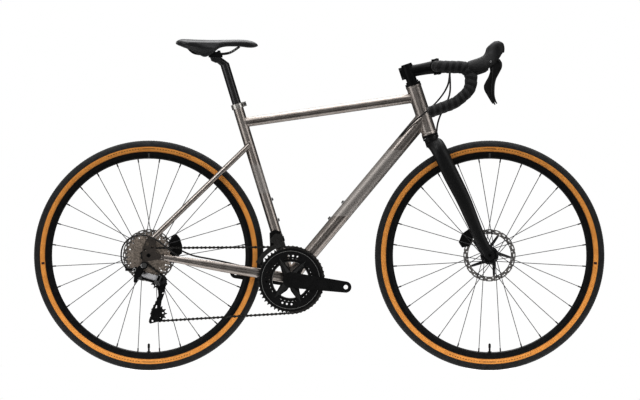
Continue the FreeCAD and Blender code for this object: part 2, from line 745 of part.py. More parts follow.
def chain(rollers):
    pitch = size_of("chain_pitch")
    inner = link_plate(-1.8, -1.1, 2.6).fuse(link_plate(1.1, 1.8, 2.6))
    inner = inner.fuse([disc(x, 0, 3.85, -1.15, 1.15) for x in (0, pitch)])
    inner = inner.cut([disc(x, 0, 1.9, -3, 3) for x in (0, pitch)]).removeSplitter()
    outer = link_plate(-2.55, -1.87, 2.3).fuse(link_plate(1.87, 2.55, 2.3))
    outer = outer.fuse([disc(x, 0, 1.8, -2.6, 2.6) for x in (0, pitch)]).removeSplitter()
    links = []
    for i, start in enumerate(rollers):
        end = rollers[(i + 1) % len(rollers)]
        run = (end - start).normalize()
        side = (LEFT - run * LEFT.dot(run)).normalize()
        piece = (inner if i % 2 else outer).copy()
        piece.Placement = Placement(start, Rotation(run, side, run.cross(side), "XYZ"))
        links.append(piece)
    feature("chain", Part.makeCompound(links))


def seat_phase(centre, rollers, teeth):
    """Angle of a roller that sits in the sprocket at centre."""
    radius = pitch_radius(teeth)
    seated = [r for r in rollers if abs(math.hypot(r.x - centre.x, r.z - centre.z) - radius) < 0.02]
    middle = seated[len(seated) // 2]
    return math.degrees(math.atan2(middle.z - centre.z, middle.x - centre.x))


def cassette(rollers):
    step = size_of("cog_pitch")
    half = size_of("tooth_thick") / 2
    first_y = size_of("small_cog_y")
    phase = seat_phase(REAR_AXLE, rollers, COGS[0])
    x, z = REAR_AXLE.x, REAR_AXLE.z
    cogs = []
    for i, teeth in enumerate(COGS):
        y = first_y + i * step
        plate = toothed(teeth, y - half, y + half, phase, REAR_AXLE)
        holes = []
        if teeth >= 17:
            ring_r = pitch_radius(teeth) - 9.0
            count = teeth // 2
            for k in range(count):
                spot = polar(REAR_AXLE, ring_r, 360 * k / count + 7 * i)
                holes.append(disc(spot.x, spot.z, 2.6, y - 2, y + 2))
        if teeth >= 27:
            for k in range(10):
                spot = polar(REAR_AXLE, pitch_radius(teeth) - 20, 36 * k + 9 * i)
                holes.append(disc(spot.x, spot.z, 5.2, y - 2, y + 2))
        cogs.append(plate.cut(holes) if holes else plate)
    low = first_y - half - 1.0
    high = first_y + step * (len(COGS) - 1) + half
    core = disc(x, z, 17.0, low, high)
    core = core.fuse(disc(x, z, 20.0, first_y + 4 * step, high))
    whole = core.fuse(cogs).cut(disc(x, z, 9.0 + FIT, low - 1, high + 1))
    feature("cassette", whole)


def chainrings(rollers):
    """Outer ring with its broad face, and the inner ring, each with four bolt tabs."""
    phase = seat_phase(BB, rollers, RING_TEETH)
    outer_y, inner_y = size_of("outer_ring_y"), size_of("inner_ring_y")
    half = size_of("tooth_thick") / 2
    outer = toothed(RING_TEETH, outer_y - half, outer_y + half, phase, BB, bore=66)
    face = disc(BB.x, BB.z, 91, outer_y - half - 3.4, outer_y - half + 0.1, 66)
    lip = Part.makeCone(94, 91, 1.6, Vector(BB.x, outer_y - half - 1.6, BB.z), LEFT)
    outer = outer.fuse([face, lip.cut(disc(BB.x, BB.z, 66, -60, -40))])
    tabs, holes, small_tabs = [], [], []
    for angle in SPIDER_ANGLES:
        spot = polar(BB, 55, angle)
        root = polar(BB, 70, angle)
        tip_end = (spot.x, spot.z, 9.0)
        root_end = (root.x, root.z, 13.0)
        tabs.append(strap(tip_end, root_end, outer_y - half - 2.4, outer_y + half))
        small_root = polar(BB, 60, angle)
        small_tabs.append(strap((spot.x, spot.z, 7.5), (small_root.x, small_root.z, 10.0),
                                inner_y - half, inner_y + half))
        holes.append(disc(spot.x, spot.z, 4.0 + SEAM, -60, -35))
    slots = []
    for k in range(4):
        middle = (SPIDER_ANGLES[k] + SPIDER_ANGLES[(k + 1) % 4] + (360 if k == 3 else 0)) / 2
        for step in (-11, 0, 11):
            spot = polar(BB, 74, middle + step)
            slots.append(disc(spot.x, spot.z, 3.2, -60, -40))
    outer = outer.fuse(tabs).cut(holes + slots)
    feature("outer_chainring", outer)
    inner = toothed(SMALL_RING_TEETH, inner_y - half, inner_y + half, phase, BB, bore=55)
    inner = inner.fuse(small_tabs).cut(holes)
    feature("inner_chainring", inner)
    bolts = []
    for angle in SPIDER_ANGLES:
        spot = polar(BB, 55, angle)
        bolt = disc(spot.x, spot.z, 4.0, outer_y - half - 3.4, inner_y + half + 1.2)
        head = disc(spot.x, spot.z, 5.6, outer_y - half - 4.4, outer_y - half - 2.4 - SEAM)
        nut = disc(spot.x, spot.z, 5.6, inner_y + half + SEAM, inner_y + half + 1.5)
        bolts.append(bolt.fuse([head, nut]).cut(disc(spot.x, spot.z, 2.4, -60, -51)))
    feature("chainring_bolts", Part.makeCompound(bolts))


ARM_ANGLE = -size_of("crank_droop")
SPIDER_ANGLES = [ARM_ANGLE + 58, ARM_ANGLE + 125, ARM_ANGLE + 235, ARM_ANGLE + 302]


def spider_ridge(angle):
    """Pointed cover on one spider arm: two sloping faces that meet along a crest."""
    low, top, crest = -54.6, -55.4, -62.0
    root = polar(BB, 20, angle)
    tip = polar(BB, 77, angle)
    across = (tip - root).normalize().cross(LEFT) * 12.0
    corners = [root + across, root - across, tip]
    base = slab([(c.x, c.z) for c in corners], top, low)
    left, right, point = [Vector(c.x, top, c.z) for c in corners]
    peak = Vector(root.x, crest, root.z)
    faces = []
    for loop in ((left, right, point), (left, peak, point), (right, peak, point), (left, right, peak)):
        faces.append(Part.Face(Part.makePolygon(list(loop) + [loop[0]])))
    roof = Part.makeSolid(Part.makeShell(faces))
    if roof.Volume < 0:
        roof.reverse()
    return base.fuse(roof)


def cranks():
    pedal = polar(BB, size_of("crank_length"), ARM_ANGLE)
    arm = strap((BB.x, BB.z, 24.0), (pedal.x, pedal.z, 17.0), -73, -60)
    arm = arm.fuse(disc(BB.x, BB.z, 24.0, -60.5, -46.0))
    web = polar(BB, 95, ARM_ANGLE)
    arm = arm.fuse(strap((BB.x, BB.z, 20.0), (web.x, web.z, 13.0), -60.5, -56.5))
    arms = []
    for angle in SPIDER_ANGLES:
        root = polar(BB, 30, angle)
        tip = polar(BB, 55, angle)
        limb = strap((root.x, root.z, 13.0), (tip.x, tip.z, 7.5),
                     size_of("outer_ring_y") + 0.8 + SEAM, size_of("inner_ring_y") - 0.8 - SEAM)
        hub_link = polar(BB, 22, angle)
        arms.append(limb)
        arms.append(strap((hub_link.x, hub_link.z, 12.0), (root.x, root.z, 11.9), -56, -44))
    arm = arm.fuse(arms + [spider_ridge(angle) for angle in SPIDER_ANGLES])
    arm = arm.cut(disc(BB.x, BB.z, 22.3, -45.6, -35))
    arm = arm.fuse(disc(BB.x, BB.z, 12.0, -50, 70)).removeSplitter()
    arm = arm.cut([disc(BB.x, BB.z, 8.0, -68, 71), disc(pedal.x, pedal.z, size_of("pedal_hole"), -80, -50)])
    holes = []
    for angle in SPIDER_ANGLES:
        spot = polar(BB, 55, angle)
        holes.append(disc(spot.x, spot.z, 4.0 + SEAM, -60, -35))
    feature("crank_arm_right", arm.cut(holes))
    rear = polar(BB, size_of("crank_length"), ARM_ANGLE + 180)
    left = strap((BB.x, BB.z, 21.0), (rear.x, rear.z, 17.0), 60, 73)
    left = left.fuse(disc(BB.x, BB.z, 19.0, 46, 60.5))
    pedal_bore = disc(rear.x, rear.z, size_of("pedal_hole"), 50, 80)
    left = left.cut([disc(BB.x, BB.z, 12.0 + SEAM, 40, 80), pedal_bore])
    cap = disc(BB.x, BB.z, 11.9, 70.05, 72).fuse(disc(BB.x, BB.z, 7.9, 62, 71))
    cap = cap.cut(disc(BB.x, BB.z, 5, 60, 80))
    feature("crank_arm_left", Part.makeCompound([left, cap]))


# ---------------------------------------------------------------- derailleurs
LINK_RUN = Vector(0.9, 0, -0.436).normalize()
LINK_SWING = Vector(-0.211, 0.875, -0.436).normalize()
LINK_AXIS = LINK_RUN.cross(LINK_SWING).normalize()
LINK_REST = 18.0
LINK_LENGTH = 48.0
LINK_SPREAD = 7.5
B_AXLE = Vector(REAR_AXLE.x - 13, 0, REAR_AXLE.z - 30)
link_dir = (LINK_RUN * math.cos(math.radians(LINK_REST))
            - LINK_SWING * math.sin(math.radians(LINK_REST))).normalize()
link_side = LINK_AXIS.cross(link_dir).normalize()
link_root = Vector(-540.0, -76.0, 290.0)
link_tip = link_root + link_dir * LINK_LENGTH
P_AXLE = Vector(-481.0, 0, 277.0)


def link_frame(origin):
    return Placement(origin, Rotation(link_dir, link_side, LINK_AXIS, "XYZ"))


def link_bar():
    """One link of the parallelogram along its own +X, pins along Z."""
    bar = Part.makeBox(LINK_LENGTH, 5.0, 17.0, Vector(0, -2.5, -8.5))
    for x in (0, LINK_LENGTH):
        bar = bar.fuse(Part.makeCylinder(3.4, 17.0, Vector(x, 0, -8.5)))
    for x in (0, LINK_LENGTH):
        bar = bar.cut(Part.makeCylinder(1.6 + FIT, 19.0, Vector(x, 0, -9.5)))
    return bar.removeSplitter()


def fork_plates(reach):
    """Upper and lower ears with both pins, in the link's frame, about one end."""
    parts = []
    for low in (-11.3, 8.8):
        ear = Part.makeBox(8.0, 2 * LINK_SPREAD + 8, 2.5, Vector(-4, -LINK_SPREAD - 4, low))
        parts.append(ear)
        parts.append(Part.makeBox(abs(reach), 2 * LINK_SPREAD + 8, 2.5,
                                  Vector(min(reach, 0), -LINK_SPREAD - 4, low)))
    web_x = reach if reach > 0 else reach - 4
    parts.append(Part.makeBox(4.0, 2 * LINK_SPREAD + 8, 22.6, Vector(web_x, -LINK_SPREAD - 4, -11.3)))
    for y in (-LINK_SPREAD, LINK_SPREAD):
        parts.append(Part.makeCylinder(1.6, 22.0, Vector(0, y, -11.0)))
    return parts[0].fuse(parts[1:])


def rear_derailleur(tension, rollers):
    bar = link_bar()
    for node, offset in (("rd_outer_link", -LINK_SPREAD), ("rd_inner_link", LINK_SPREAD)):
        piece = bar.copy()
        feature(node, piece, link_frame(link_root + link_side * offset))
    ears = fork_plates(-8.0)
    ears.Placement = link_frame(link_root)
    eye = disc(B_AXLE.x, B_AXLE.z, 11.5, -90.5, -79.0)
    neck = strap((B_AXLE.x, B_AXLE.z, 9.0), (-556.0, 300.0, 8.5), -90.5, -80.0)
    tail = strap((-556.0, 300.0, 8.5), (-561.0, 309.0, 7.0), -90.5, -80.0)
    root_end = link_root - link_dir * 11
    stem_piece = strap((-556.0, 300.0, 8.5), (root_end.x, root_end.z, 8.0), -90.5, -72.0)
    boss = strap((-556.0, 300.0, 8.5), (-561.0, 273.0, 5.5), -90.5, -82.0)
    inlet = rod(Vector(-561, -85, 308), Vector(-592, -85, 309), 5.0)
    inlet = inlet.cut(rod(Vector(-584, -85, 308.8), Vector(-594, -85, 309.1), 2.7))
    clear = Part.makeBox(LINK_LENGTH + 12, 30, 17.8, Vector(-7, -15, -8.9))
    clear.Placement = link_frame(link_root)
    knuckle = eye.fuse([neck, tail, stem_piece, boss, inlet]).cut(clear).fuse(ears)
    knuckle = knuckle.cut(disc(B_AXLE.x, B_AXLE.z, 5.0 + FIT, -96, -60))
    knuckle = largest(knuckle)
    feature("rd_knuckle", knuckle)
    ears = fork_plates(10.0)
    ears.Placement = link_frame(link_tip)
    drum = disc(P_AXLE.x, P_AXLE.z, 15.0, -90.0, -74.0)
    clear = Part.makeBox(LINK_LENGTH + 12, 30, 17.8, Vector(-LINK_LENGTH - 5, -15, -8.9))
    clear.Placement = link_frame(link_tip)
    drum = drum.cut(clear).fuse(ears).cut(disc(P_AXLE.x, P_AXLE.z, 4.5 + FIT, -92, -60))
    drum = largest(drum.cut(disc(P_AXLE.x, P_AXLE.z, 40, -73.9, -40)))
    feature("rd_p_knuckle", drum)
    cage = cage_plates(tension)
    feature("rd_cage", cage)
    for node, centre in (("rd_guide_pulley", GUIDE), ("rd_tension_pulley", tension)):
        phase = seat_phase(centre, rollers, PULLEY_TEETH)
        y = size_of("small_cog_y")
        wheel = toothed(PULLEY_TEETH, y - 0.8, y + 0.8, phase, centre)
        wheel = wheel.fuse(disc(centre.x, centre.z, 8.0, y - 5.2, y + 5.2))
        holes = [disc(centre.x, centre.z, 2.5 + FIT, y - 9, y + 9)]
        for k in range(5):
            spot = polar(centre, 12.5, 72 * k + 10)
            holes.append(disc(spot.x, spot.z, 2.6, y - 9, y + 9))
        feature(node, wheel.cut(holes))


# front edge of the cage from top to foot, then its rear edge back up, from the tension pulley's axle
CAGE_EDGE = [
    (20.1, 82.9), (16.8, 60.7), (8.4, 38.4), (5.5, 16.2), (9.5, 4.0), (11.5, -21.0),
    (-26.4, -30.6), (-30.5, -25.6), (-29.1, -17.2), (-20.8, 5.0), (-13.8, 21.7),
    (-8.3, 35.6), (-1.3, 55.1), (-2.7, 74.6),
]
# x and z from the tension pulley's axle, radius
CAGE_HOLES = [
    (12.0, 63.5, 3.0), (-8.6, 17.0, 2.4), (-7.4, 20.3, 2.4), (-6.2, 23.5, 2.4),
    (-13.8, 0.0, 2.6), (-19.4, -22.2, 3.0), (3.7, -13.0, 2.4),
]


def cage_plates(tension):
    """Two S-shaped plates on the pulley bolts; the outer one also carries the pivot pin."""
    y = size_of("small_cog_y")
    edge = [(tension.x + dx, tension.z + dz) for dx, dz in CAGE_EDGE]
    head = [(GUIDE.x - 12, GUIDE.z - 3), (GUIDE.x - 10, GUIDE.z + 9), (GUIDE.x + 2, GUIDE.z + 14)]
    outer = slab(edge + head + [(GUIDE.x + 22, GUIDE.z + 8)], y - 8.5, y - 6.5)
    inner = slab(edge + head + [(GUIDE.x + 12, GUIDE.z + 6)], y + 6.5, y + 8.3)
    holes = []
    for dx, dz, radius in CAGE_HOLES:
        holes.append(disc(tension.x + dx, tension.z + dz, radius, y - 12, y + 12))
    bolts = [disc(c.x, c.z, 2.5, y - 8, y + 8) for c in (GUIDE, tension)]
    heads = [disc(c.x, c.z, 4.5, y + 8.2, y + 9.4) for c in (GUIDE, tension)]
    pin = disc(P_AXLE.x, P_AXLE.z, 4.5, -88, y - 7)
    return outer.cut(holes).fuse([inner.cut(holes), pin] + bolts + heads)


def front_derailleur():
    """Band and body on the seat tube, and the cage that straddles the outer ring."""
    centre = BB + SEAT_UP * 128
    band = rod(centre - SEAT_UP * 8, centre + SEAT_UP * 8, 18.6, size_of("seat_tube_radius") + SEAM)
    body = slab([(-150, 372), (-118, 372), (-118, 424), (-136, 430), (-152, 420)], -33.5, -19)
    body = body.cut(rod(centre - SEAT_UP * 60, centre + SEAT_UP * 60, size_of("seat_tube_radius") + 1))
    ear = slab([(-140, 384), (-124, 384), (-124, 408), (-140, 408)], -24, -12)
    ear = ear.cut(rod(centre - SEAT_UP * 60, centre + SEAT_UP * 60, size_of("seat_tube_radius") + SEAM))
    body = body.fuse([band, ear])
    guides = [(-142.0, 396.0), (-126.0, 412.0)]
    body = body.cut([disc(x, z, 3.0 + FIT, -45, -19.5) for x, z in guides])
    body = largest(body)
    feature("front_derailleur_body", body)
    plates = []
    for y, inner_r, outer_r in ((-55.4, 105.4, 119.5), (-44.6, 105.4, 118.0)):
        ring = disc(BB.x, BB.z, outer_r, y - 0.8, y + 0.8, inner_r)
        wedge = [(BB.x, BB.z)]
        for turn in (99, 112, 126, 140, 153):
            spot = polar(BB, 170, turn)
            wedge.append((spot.x, spot.z))
        plates.append(ring.common(slab(wedge, y - 3, y + 3)))
    bridge = disc(BB.x, BB.z, 119, -55, -45, 112).common(slab(
        [(BB.x, BB.z)] + [(polar(BB, 170, t).x, polar(BB, 170, t).z) for t in (147, 150, 153)], -56, -44))
    top = slab([(-150, 390), (-112, 384), (-112, 416), (-134, 418), (-150, 402)], -45.4, -42.6)
    link = slab([(-113, 381), (-135, 372), (-140, 390), (-120, 396)], -45.4, -43.8)
    pins = [disc(x, z, 3.0, -44, -28.5) for x, z in guides]
    outer_top = slab([(-112, 378), (-128, 372), (-132, 392), (-114, 396)], -56.2, -54.6)
    roof = slab([(-114, 390), (-130, 388), (-131, 393), (-115, 395)], -56.2, -43.8)
    cage = plates[0].fuse([plates[1], bridge, top, link, outer_top, roof] + pins)
    feature("front_derailleur_cage", cage)


# ---------------------------------------------------------------- brakes
def calipers():
    """Two hydraulic calipers, each slotted for its rotor."""
    for node, centre, rotor_y, outline in (
            ("rear_brake_caliper", REAR_AXLE, size_of("rear_rotor_y"),
             [(62, -2), (61, 40), (70, 60), (84, 65), (95, 52), (102, 28), (101, 6), (90, -2)]),
            ("front_brake_caliper", FRONT_AXLE, size_of("front_rotor_y"),
             [(-56, 86), (-42, 80), (-52, 52), (-62, 28), (-84, 24), (-94, 40), (-84, 66)])):
        x, z = centre.x, centre.z
        body = slab([(x + dx, z + dz) for dx, dz in outline], rotor_y - 13, rotor_y + 7.5)
        slot = disc(x, z, size_of("rotor_radius") + 2.5, rotor_y - 1.7, rotor_y + 1.7)
        body = body.cut(slot)
        if node.startswith("rear"):
            body = body.cut(mirrored(chainstay_solid(0.5)))
        else:
            body = body.cut(mirrored(fork_blades(1.5)))
        feature(node, largest(body))


# ---------------------------------------------------------------- fork and cockpit
# x, distance from the middle plane, z, fore-aft width and thickness of the blade
FORK = [
    (521.5, 58.0, 351.0, 31.0, 15.0),
    (508.5, 57.0, 374.0, 31.5, 15.0),
    (495.4, 54.0, 398.8, 33.0, 16.0),
    (468.0, 48.0, 459.6, 38.5, 18.0),
    (442.2, 43.5, 520.5, 43.0, 20.0),
    (411.7, 39.5, 581.4, 46.5, 23.0),
    (386.0, 37.0, 634.0, 47.0, 26.0),
    (364.0, 28.0, 679.0, 48.0, 30.0),
    (352.0, 10.0, 694.0, 50.0, 30.0),
]


def fork_blades(extra=0.0):
    rings = []
    spots = [Vector(x, -y, z) for x, y, z, _, _ in FORK]
    fore = HEAD_UP.cross(LEFT) * -1
    for i, (x, y, z, width, thick) in enumerate(FORK):
        before = spots[max(i - 1, 0)]
        after = spots[i + 1] if i + 1 < len(spots) else Vector(x, y, z)
        rings.append(oval(spots[i], after - before, fore, width + 2 * extra, thick + 2 * extra))
    return loft(rings)


def fork():
    blade = fork_blades()
    crown = rod(head_low - HEAD_UP * 36, head_low - HEAD_UP * 8.4, 21.5)
    crown = crown.fuse(rod(head_low - HEAD_UP * 15, head_low - HEAD_UP * 8.4, 24.3))
    tube = rod(head_low - HEAD_UP * 30, head_low + HEAD_UP * 210, size_of("steerer_radius"))
    middle = loft([oval(Vector(352.0, -10.0, 694.0), LEFT, HEAD_UP.cross(LEFT) * -1, 50, 30),
                   oval(Vector(352.0, 10.0, 694.0), LEFT, HEAD_UP.cross(LEFT) * -1, 50, 30)])
    whole = blade.fuse([mirrored(blade), crown, tube, middle])
    x, z = FRONT_AXLE.x, FRONT_AXLE.z
    for side in (-1, 1):
        low, high = sorted((50.0 * side, 67.0 * side))
        whole = whole.fuse(disc(x, z, 15.0, low, high))
    gap = disc(x, z, 24.5, -50, 50)
    whole = whole.cut([gap, disc(x, z, size_of("axle_radius") + SEAM, -80, 80)])
    whole = whole.cut(disc(x, z, TYRE_R + 6, -24, 24))
    feature("fork", whole.removeSplitter())


def cockpit():
    """Spacers, stem, faceplate, bolts, bar and tape."""
    gap = size_of("steerer_radius") + SEAM
    base = head_top + HEAD_UP * 8.4
    spacers = []
    for low, high, radius in ((0, 5, 19.5), (5.1, 16, 16.0)):
        spacers.append(rod(base + HEAD_UP * low, base + HEAD_UP * high, radius, gap))
    clamp_low = base + HEAD_UP * 16.2
    clamp_high = clamp_low + HEAD_UP * 40
    cap = rod(clamp_high + HEAD_UP * SEAM, clamp_high + HEAD_UP * 4, 16.5)
    steerer_end = head_low + HEAD_UP * 210
    cap = cap.cut(rod(head_low, steerer_end + HEAD_UP * 0.2, gap))
    spacers.append(cap.cut(rod(clamp_high + HEAD_UP * 2, clamp_high + HEAD_UP * 6, 3.5)))
    feature("headset_spacers", Part.makeCompound(spacers))
    bar_centre = Vector(size_of("bar_x"), 0, size_of("bar_z"))
    clamp_mid = clamp_low + HEAD_UP * 20
    toward = (bar_centre - clamp_mid).normalize()
    up = toward.cross(LEFT) * -1
    sleeve = rod(clamp_low, clamp_high, 17.5)
    beam = loft([oval(clamp_mid, toward, LEFT, 34, 37), oval(clamp_mid + toward * 45, toward, LEFT, 31, 36),
                 oval(bar_centre - toward * 8, toward, LEFT, 41, 40)])
    bar_gap = size_of("bar_radius") + SEAM
    block = disc(bar_centre.x, bar_centre.z, bar_gap + 4.5, -23, 23)
    ears = Part.makeBox(14, 46, 48, Vector(-12, -23, -24))
    ears.Placement = Placement(bar_centre, Rotation(toward, LEFT, up, "XYZ"))
    rear_block = Part.makeBox(16, 22, 38, Vector(-27, -11, -19))
    rear_block.Placement = Placement(clamp_mid, Rotation(HEAD_UP.cross(LEFT) * -1, LEFT, HEAD_UP, "XYZ"))
    front_half = Part.makeBox(60, 60, 80, Vector(0.4, -30, -40))
    front_half.Placement = Placement(bar_centre, Rotation(toward, LEFT, up, "XYZ"))
    bar_bore = disc(bar_centre.x, bar_centre.z, bar_gap, -40, 40)
    steerer_bore = rod(clamp_low - HEAD_UP * 5, clamp_high + HEAD_UP * 5, gap)
    slit = Part.makeBox(30, 1.5, 60, Vector(-40, -0.75, -30))
    slit.Placement = Placement(clamp_mid, Rotation(HEAD_UP.cross(LEFT) * -1, LEFT, HEAD_UP, "XYZ"))
    ring_zone = disc(bar_centre.x, bar_centre.z, bar_gap + 4.5, -23, 23)
    bolt_lines = []
    for y in (-16, 16):
        for lift in (-20.5, 20.5):
            spot = bar_centre + up * lift + LEFT * y
            bolt_lines.append((spot - toward * 11, spot + toward * 9.5, toward))
    fore = HEAD_UP.cross(LEFT) * -1
    for lift in (-14, 14):
        spot = clamp_mid - fore * 23 + HEAD_UP * lift
        bolt_lines.append((spot + LEFT * 10, spot - LEFT * 13, LEFT * -1))
    drill = [rod(a - d * 1, b + d * 1, 2.5 + SEAM) for a, b, d in bolt_lines]
    recess = [rod(b - d * 2.92, b + d * 20, 4.2 + SEAM) for _, b, d in bolt_lines[:4]]
    stem = sleeve.fuse([beam, block, ears, rear_block])
    stem = stem.cut([front_half, bar_bore, steerer_bore, slit] + drill)
    feature("stem", largest(stem))
    plate = Part.makeBox(5.5, 46, 50, Vector(1.0, -23, -25))
    plate.Placement = Placement(bar_centre, Rotation(toward, LEFT, up, "XYZ"))
    cover = ring_zone.common(front_half)
    shift = Part.makeBox(1.0, 60, 80, Vector(0, -30, -40))
    shift.Placement = Placement(bar_centre, Rotation(toward, LEFT, up, "XYZ"))
    cover = cover.fuse(plate).cut([bar_bore, shift] + drill + recess)
    feature("stem_faceplate", largest(cover))
    bolts = []
    for start, end, run in bolt_lines:
        bolt = rod(start, end, 2.5)
        head_low_point = end - run * 2.9 if abs(run.y) < 0.5 else end - run * 1.9
        head = rod(head_low_point, end + run * 1.0, 4.2)
        bolts.append(bolt.fuse(head).cut(rod(end - run * 1, end + run * 3, 2.0)))
    feature("stem_bolts", Part.makeCompound(bolts))


BAR_ROUTE = [
    Vector(359, 0, 928.5), Vector(359, -196, 928.5), Vector(467, -205, 926),
    Vector(463, -208, 858), Vector(418, -211, 818), Vector(336, -214, 788),
]
BAR_ARCS = [30.0, 34.0, 50.0, 100.0]


def bar_sweep(radius, start_y, end_trim=0.0):
    """Round bar along the right-hand half of the drop, from |y| = start_y."""
    points = list(BAR_ROUTE)
    points[0] = Vector(points[0].x, -start_y, points[0].z)
    if end_trim:
        run = (points[-1] - points[-2]).normalize()
        points[-1] = points[-1] + run * end_trim
    path, _ = rounded_path(points, BAR_ARCS)
    ring = Part.Wire([Part.Circle(points[0], Vector(0, -1, 0), radius).toShape()])
    return path.makePipeShell([ring], True, True)


def handlebar():
    grip = size_of("grip_radius")
    half = bar_sweep(grip, 30.0)
    centre = Vector(size_of("bar_x"), 0, size_of("bar_z"))
    bulge = rod(centre - LEFT * 34, centre + LEFT * 34, size_of("bar_radius"))
    cones = []
    for side in (-1, 1):
        root = centre + LEFT * (34 * side)
        cones.append(Part.makeCone(size_of("bar_radius"), grip, 25, root, LEFT * side))
    whole = bulge.fuse(cones + [half, mirrored(half)])
    bore = rod(centre - LEFT * 60, centre + LEFT * 60, grip - 2.2)
    feature("handlebar", whole.cut(bore).removeSplitter())
    tape = bar_sweep(size_of("tape_radius"), 75.0).cut(bar_sweep(grip + SEAM, 60.0, end_trim=5))
    end = BAR_ROUTE[-1]
    run = (BAR_ROUTE[-1] - BAR_ROUTE[-2]).normalize()
    plug = rod(end + run * 0.1, end + run * 4, 15.5)
    feature("bar_tape", Part.makeCompound([tape, mirrored(tape), plug, mirrored(plug)]))


# centre x, centre z, heading of the section, fore-aft or upright size, width
HOOD = [
    ((454, 921), (1.0, 0.10), 42, 33),
    ((469, 924), (1.0, 0.20), 46, 35),
    ((493.5, 931.5), (0.97, 0.25), 47, 36),
    ((516, 943.5), (0.85, 0.53), 48, 37),
    ((532, 962), (0.50, 0.87), 50, 38),
    ((538.5, 980), (0.12, 0.99), 52, 37),
    ((539.5, 993.5), (-0.10, 1.0), 44, 33),
    ((540.5, 1000), (-0.10, 1.0), 30, 24),
    ((540.5, 1004.5), (-0.10, 1.0), 14, 11),
]
LEVER_PIVOT = Vector(529, -205, 940.5)
PADDLE_PIVOT = Vector(533, -199.4, 935.5)
HOOD_Y = -205.5


def hood_solid():
    rings = []
    for (x, z), (run_x, run_z), tall, wide in HOOD:
        rings.append(oval(Vector(x, HOOD_Y, z), Vector(run_x, 0, run_z), LEFT, wide, tall))
    return loft(rings)


def levers():
    """Hoods with a slot in front, brake levers on their pins and shift paddles behind."""
    hood = hood_solid()
    y = HOOD_Y
    slot = slab([(515, 906), (515, 959), (528, 969), (584, 969), (584, 906)], y - 11, y + 11)
    tape = bar_sweep(size_of("tape_radius") + 0.1, 60.0, end_trim=5)
    hood = hood.cut(slot).cut(tape)
    hood = largest(hood)
    pin = disc(LEVER_PIVOT.x, LEVER_PIVOT.z, 2.5, y - 13, y + 13)
    hood = hood.fuse(pin)
    feature("lever_hoods", pair(hood))
    blade = slab([
        (525, 947.5), (536.5, 952.5), (549.5, 948.5), (556.5, 936.5), (555.5, 922), (546.5, 905),
        (538.5, 889.5), (534, 871.5), (534, 835), (537.5, 825.5), (542, 817), (539.5, 813.5),
        (530.5, 821.5), (524, 837), (522, 855), (523, 877.5), (526, 894), (527, 911),
        (523, 932.5),
    ], y - 10, y + 4)
    blade = blade.cut(disc(LEVER_PIVOT.x, LEVER_PIVOT.z, 2.5 + FIT, y - 20, y + 20))
    feature("brake_lever_right", blade)
    feature("brake_lever_left", mirrored(blade))
    paddle = slab([
        (527, 932.5), (539.5, 934.5), (539.5, 914), (530, 900), (521, 889.5), (508, 876.5),
        (506.5, 865.5), (516, 843.5), (527, 826.5), (535, 815.5), (531, 831), (528, 855),
        (528.5, 875.5), (534, 896), (542.5, 914), (543.5, 930.5), (539.5, 937.5), (527, 936.5),
    ], y + 4.6, y + 7.6)
    barrel = rod(PADDLE_PIVOT - Vector(8, 0, 0), PADDLE_PIVOT + Vector(8, 0, 0), 2.0)
    paddle = paddle.fuse(barrel)
    feature("shift_paddle_right", paddle)
    feature("shift_paddle_left", mirrored(paddle))


# ---------------------------------------------------------------- saddle and post
# x, half width, top z, bottom z of the padded cover
SADDLE = [
    (-439.0, 30.0, 1004.5, 996.5),
    (-428.0, 58.0, 1010.5, 990.0),
    (-405.0, 71.0, 1012.5, 987.0),
    (-375.0, 68.0, 1011.0, 987.0),
    (-340.0, 47.0, 1010.5, 988.0),
    (-300.0, 30.0, 1010.0, 990.0),
    (-260.0, 23.5, 1010.5, 990.0),
    (-220.0, 20.5, 1009.0, 989.0),
    (-198.0, 16.5, 1004.5, 987.0),
    (-187.5, 7.0, 997.0, 989.0),
]


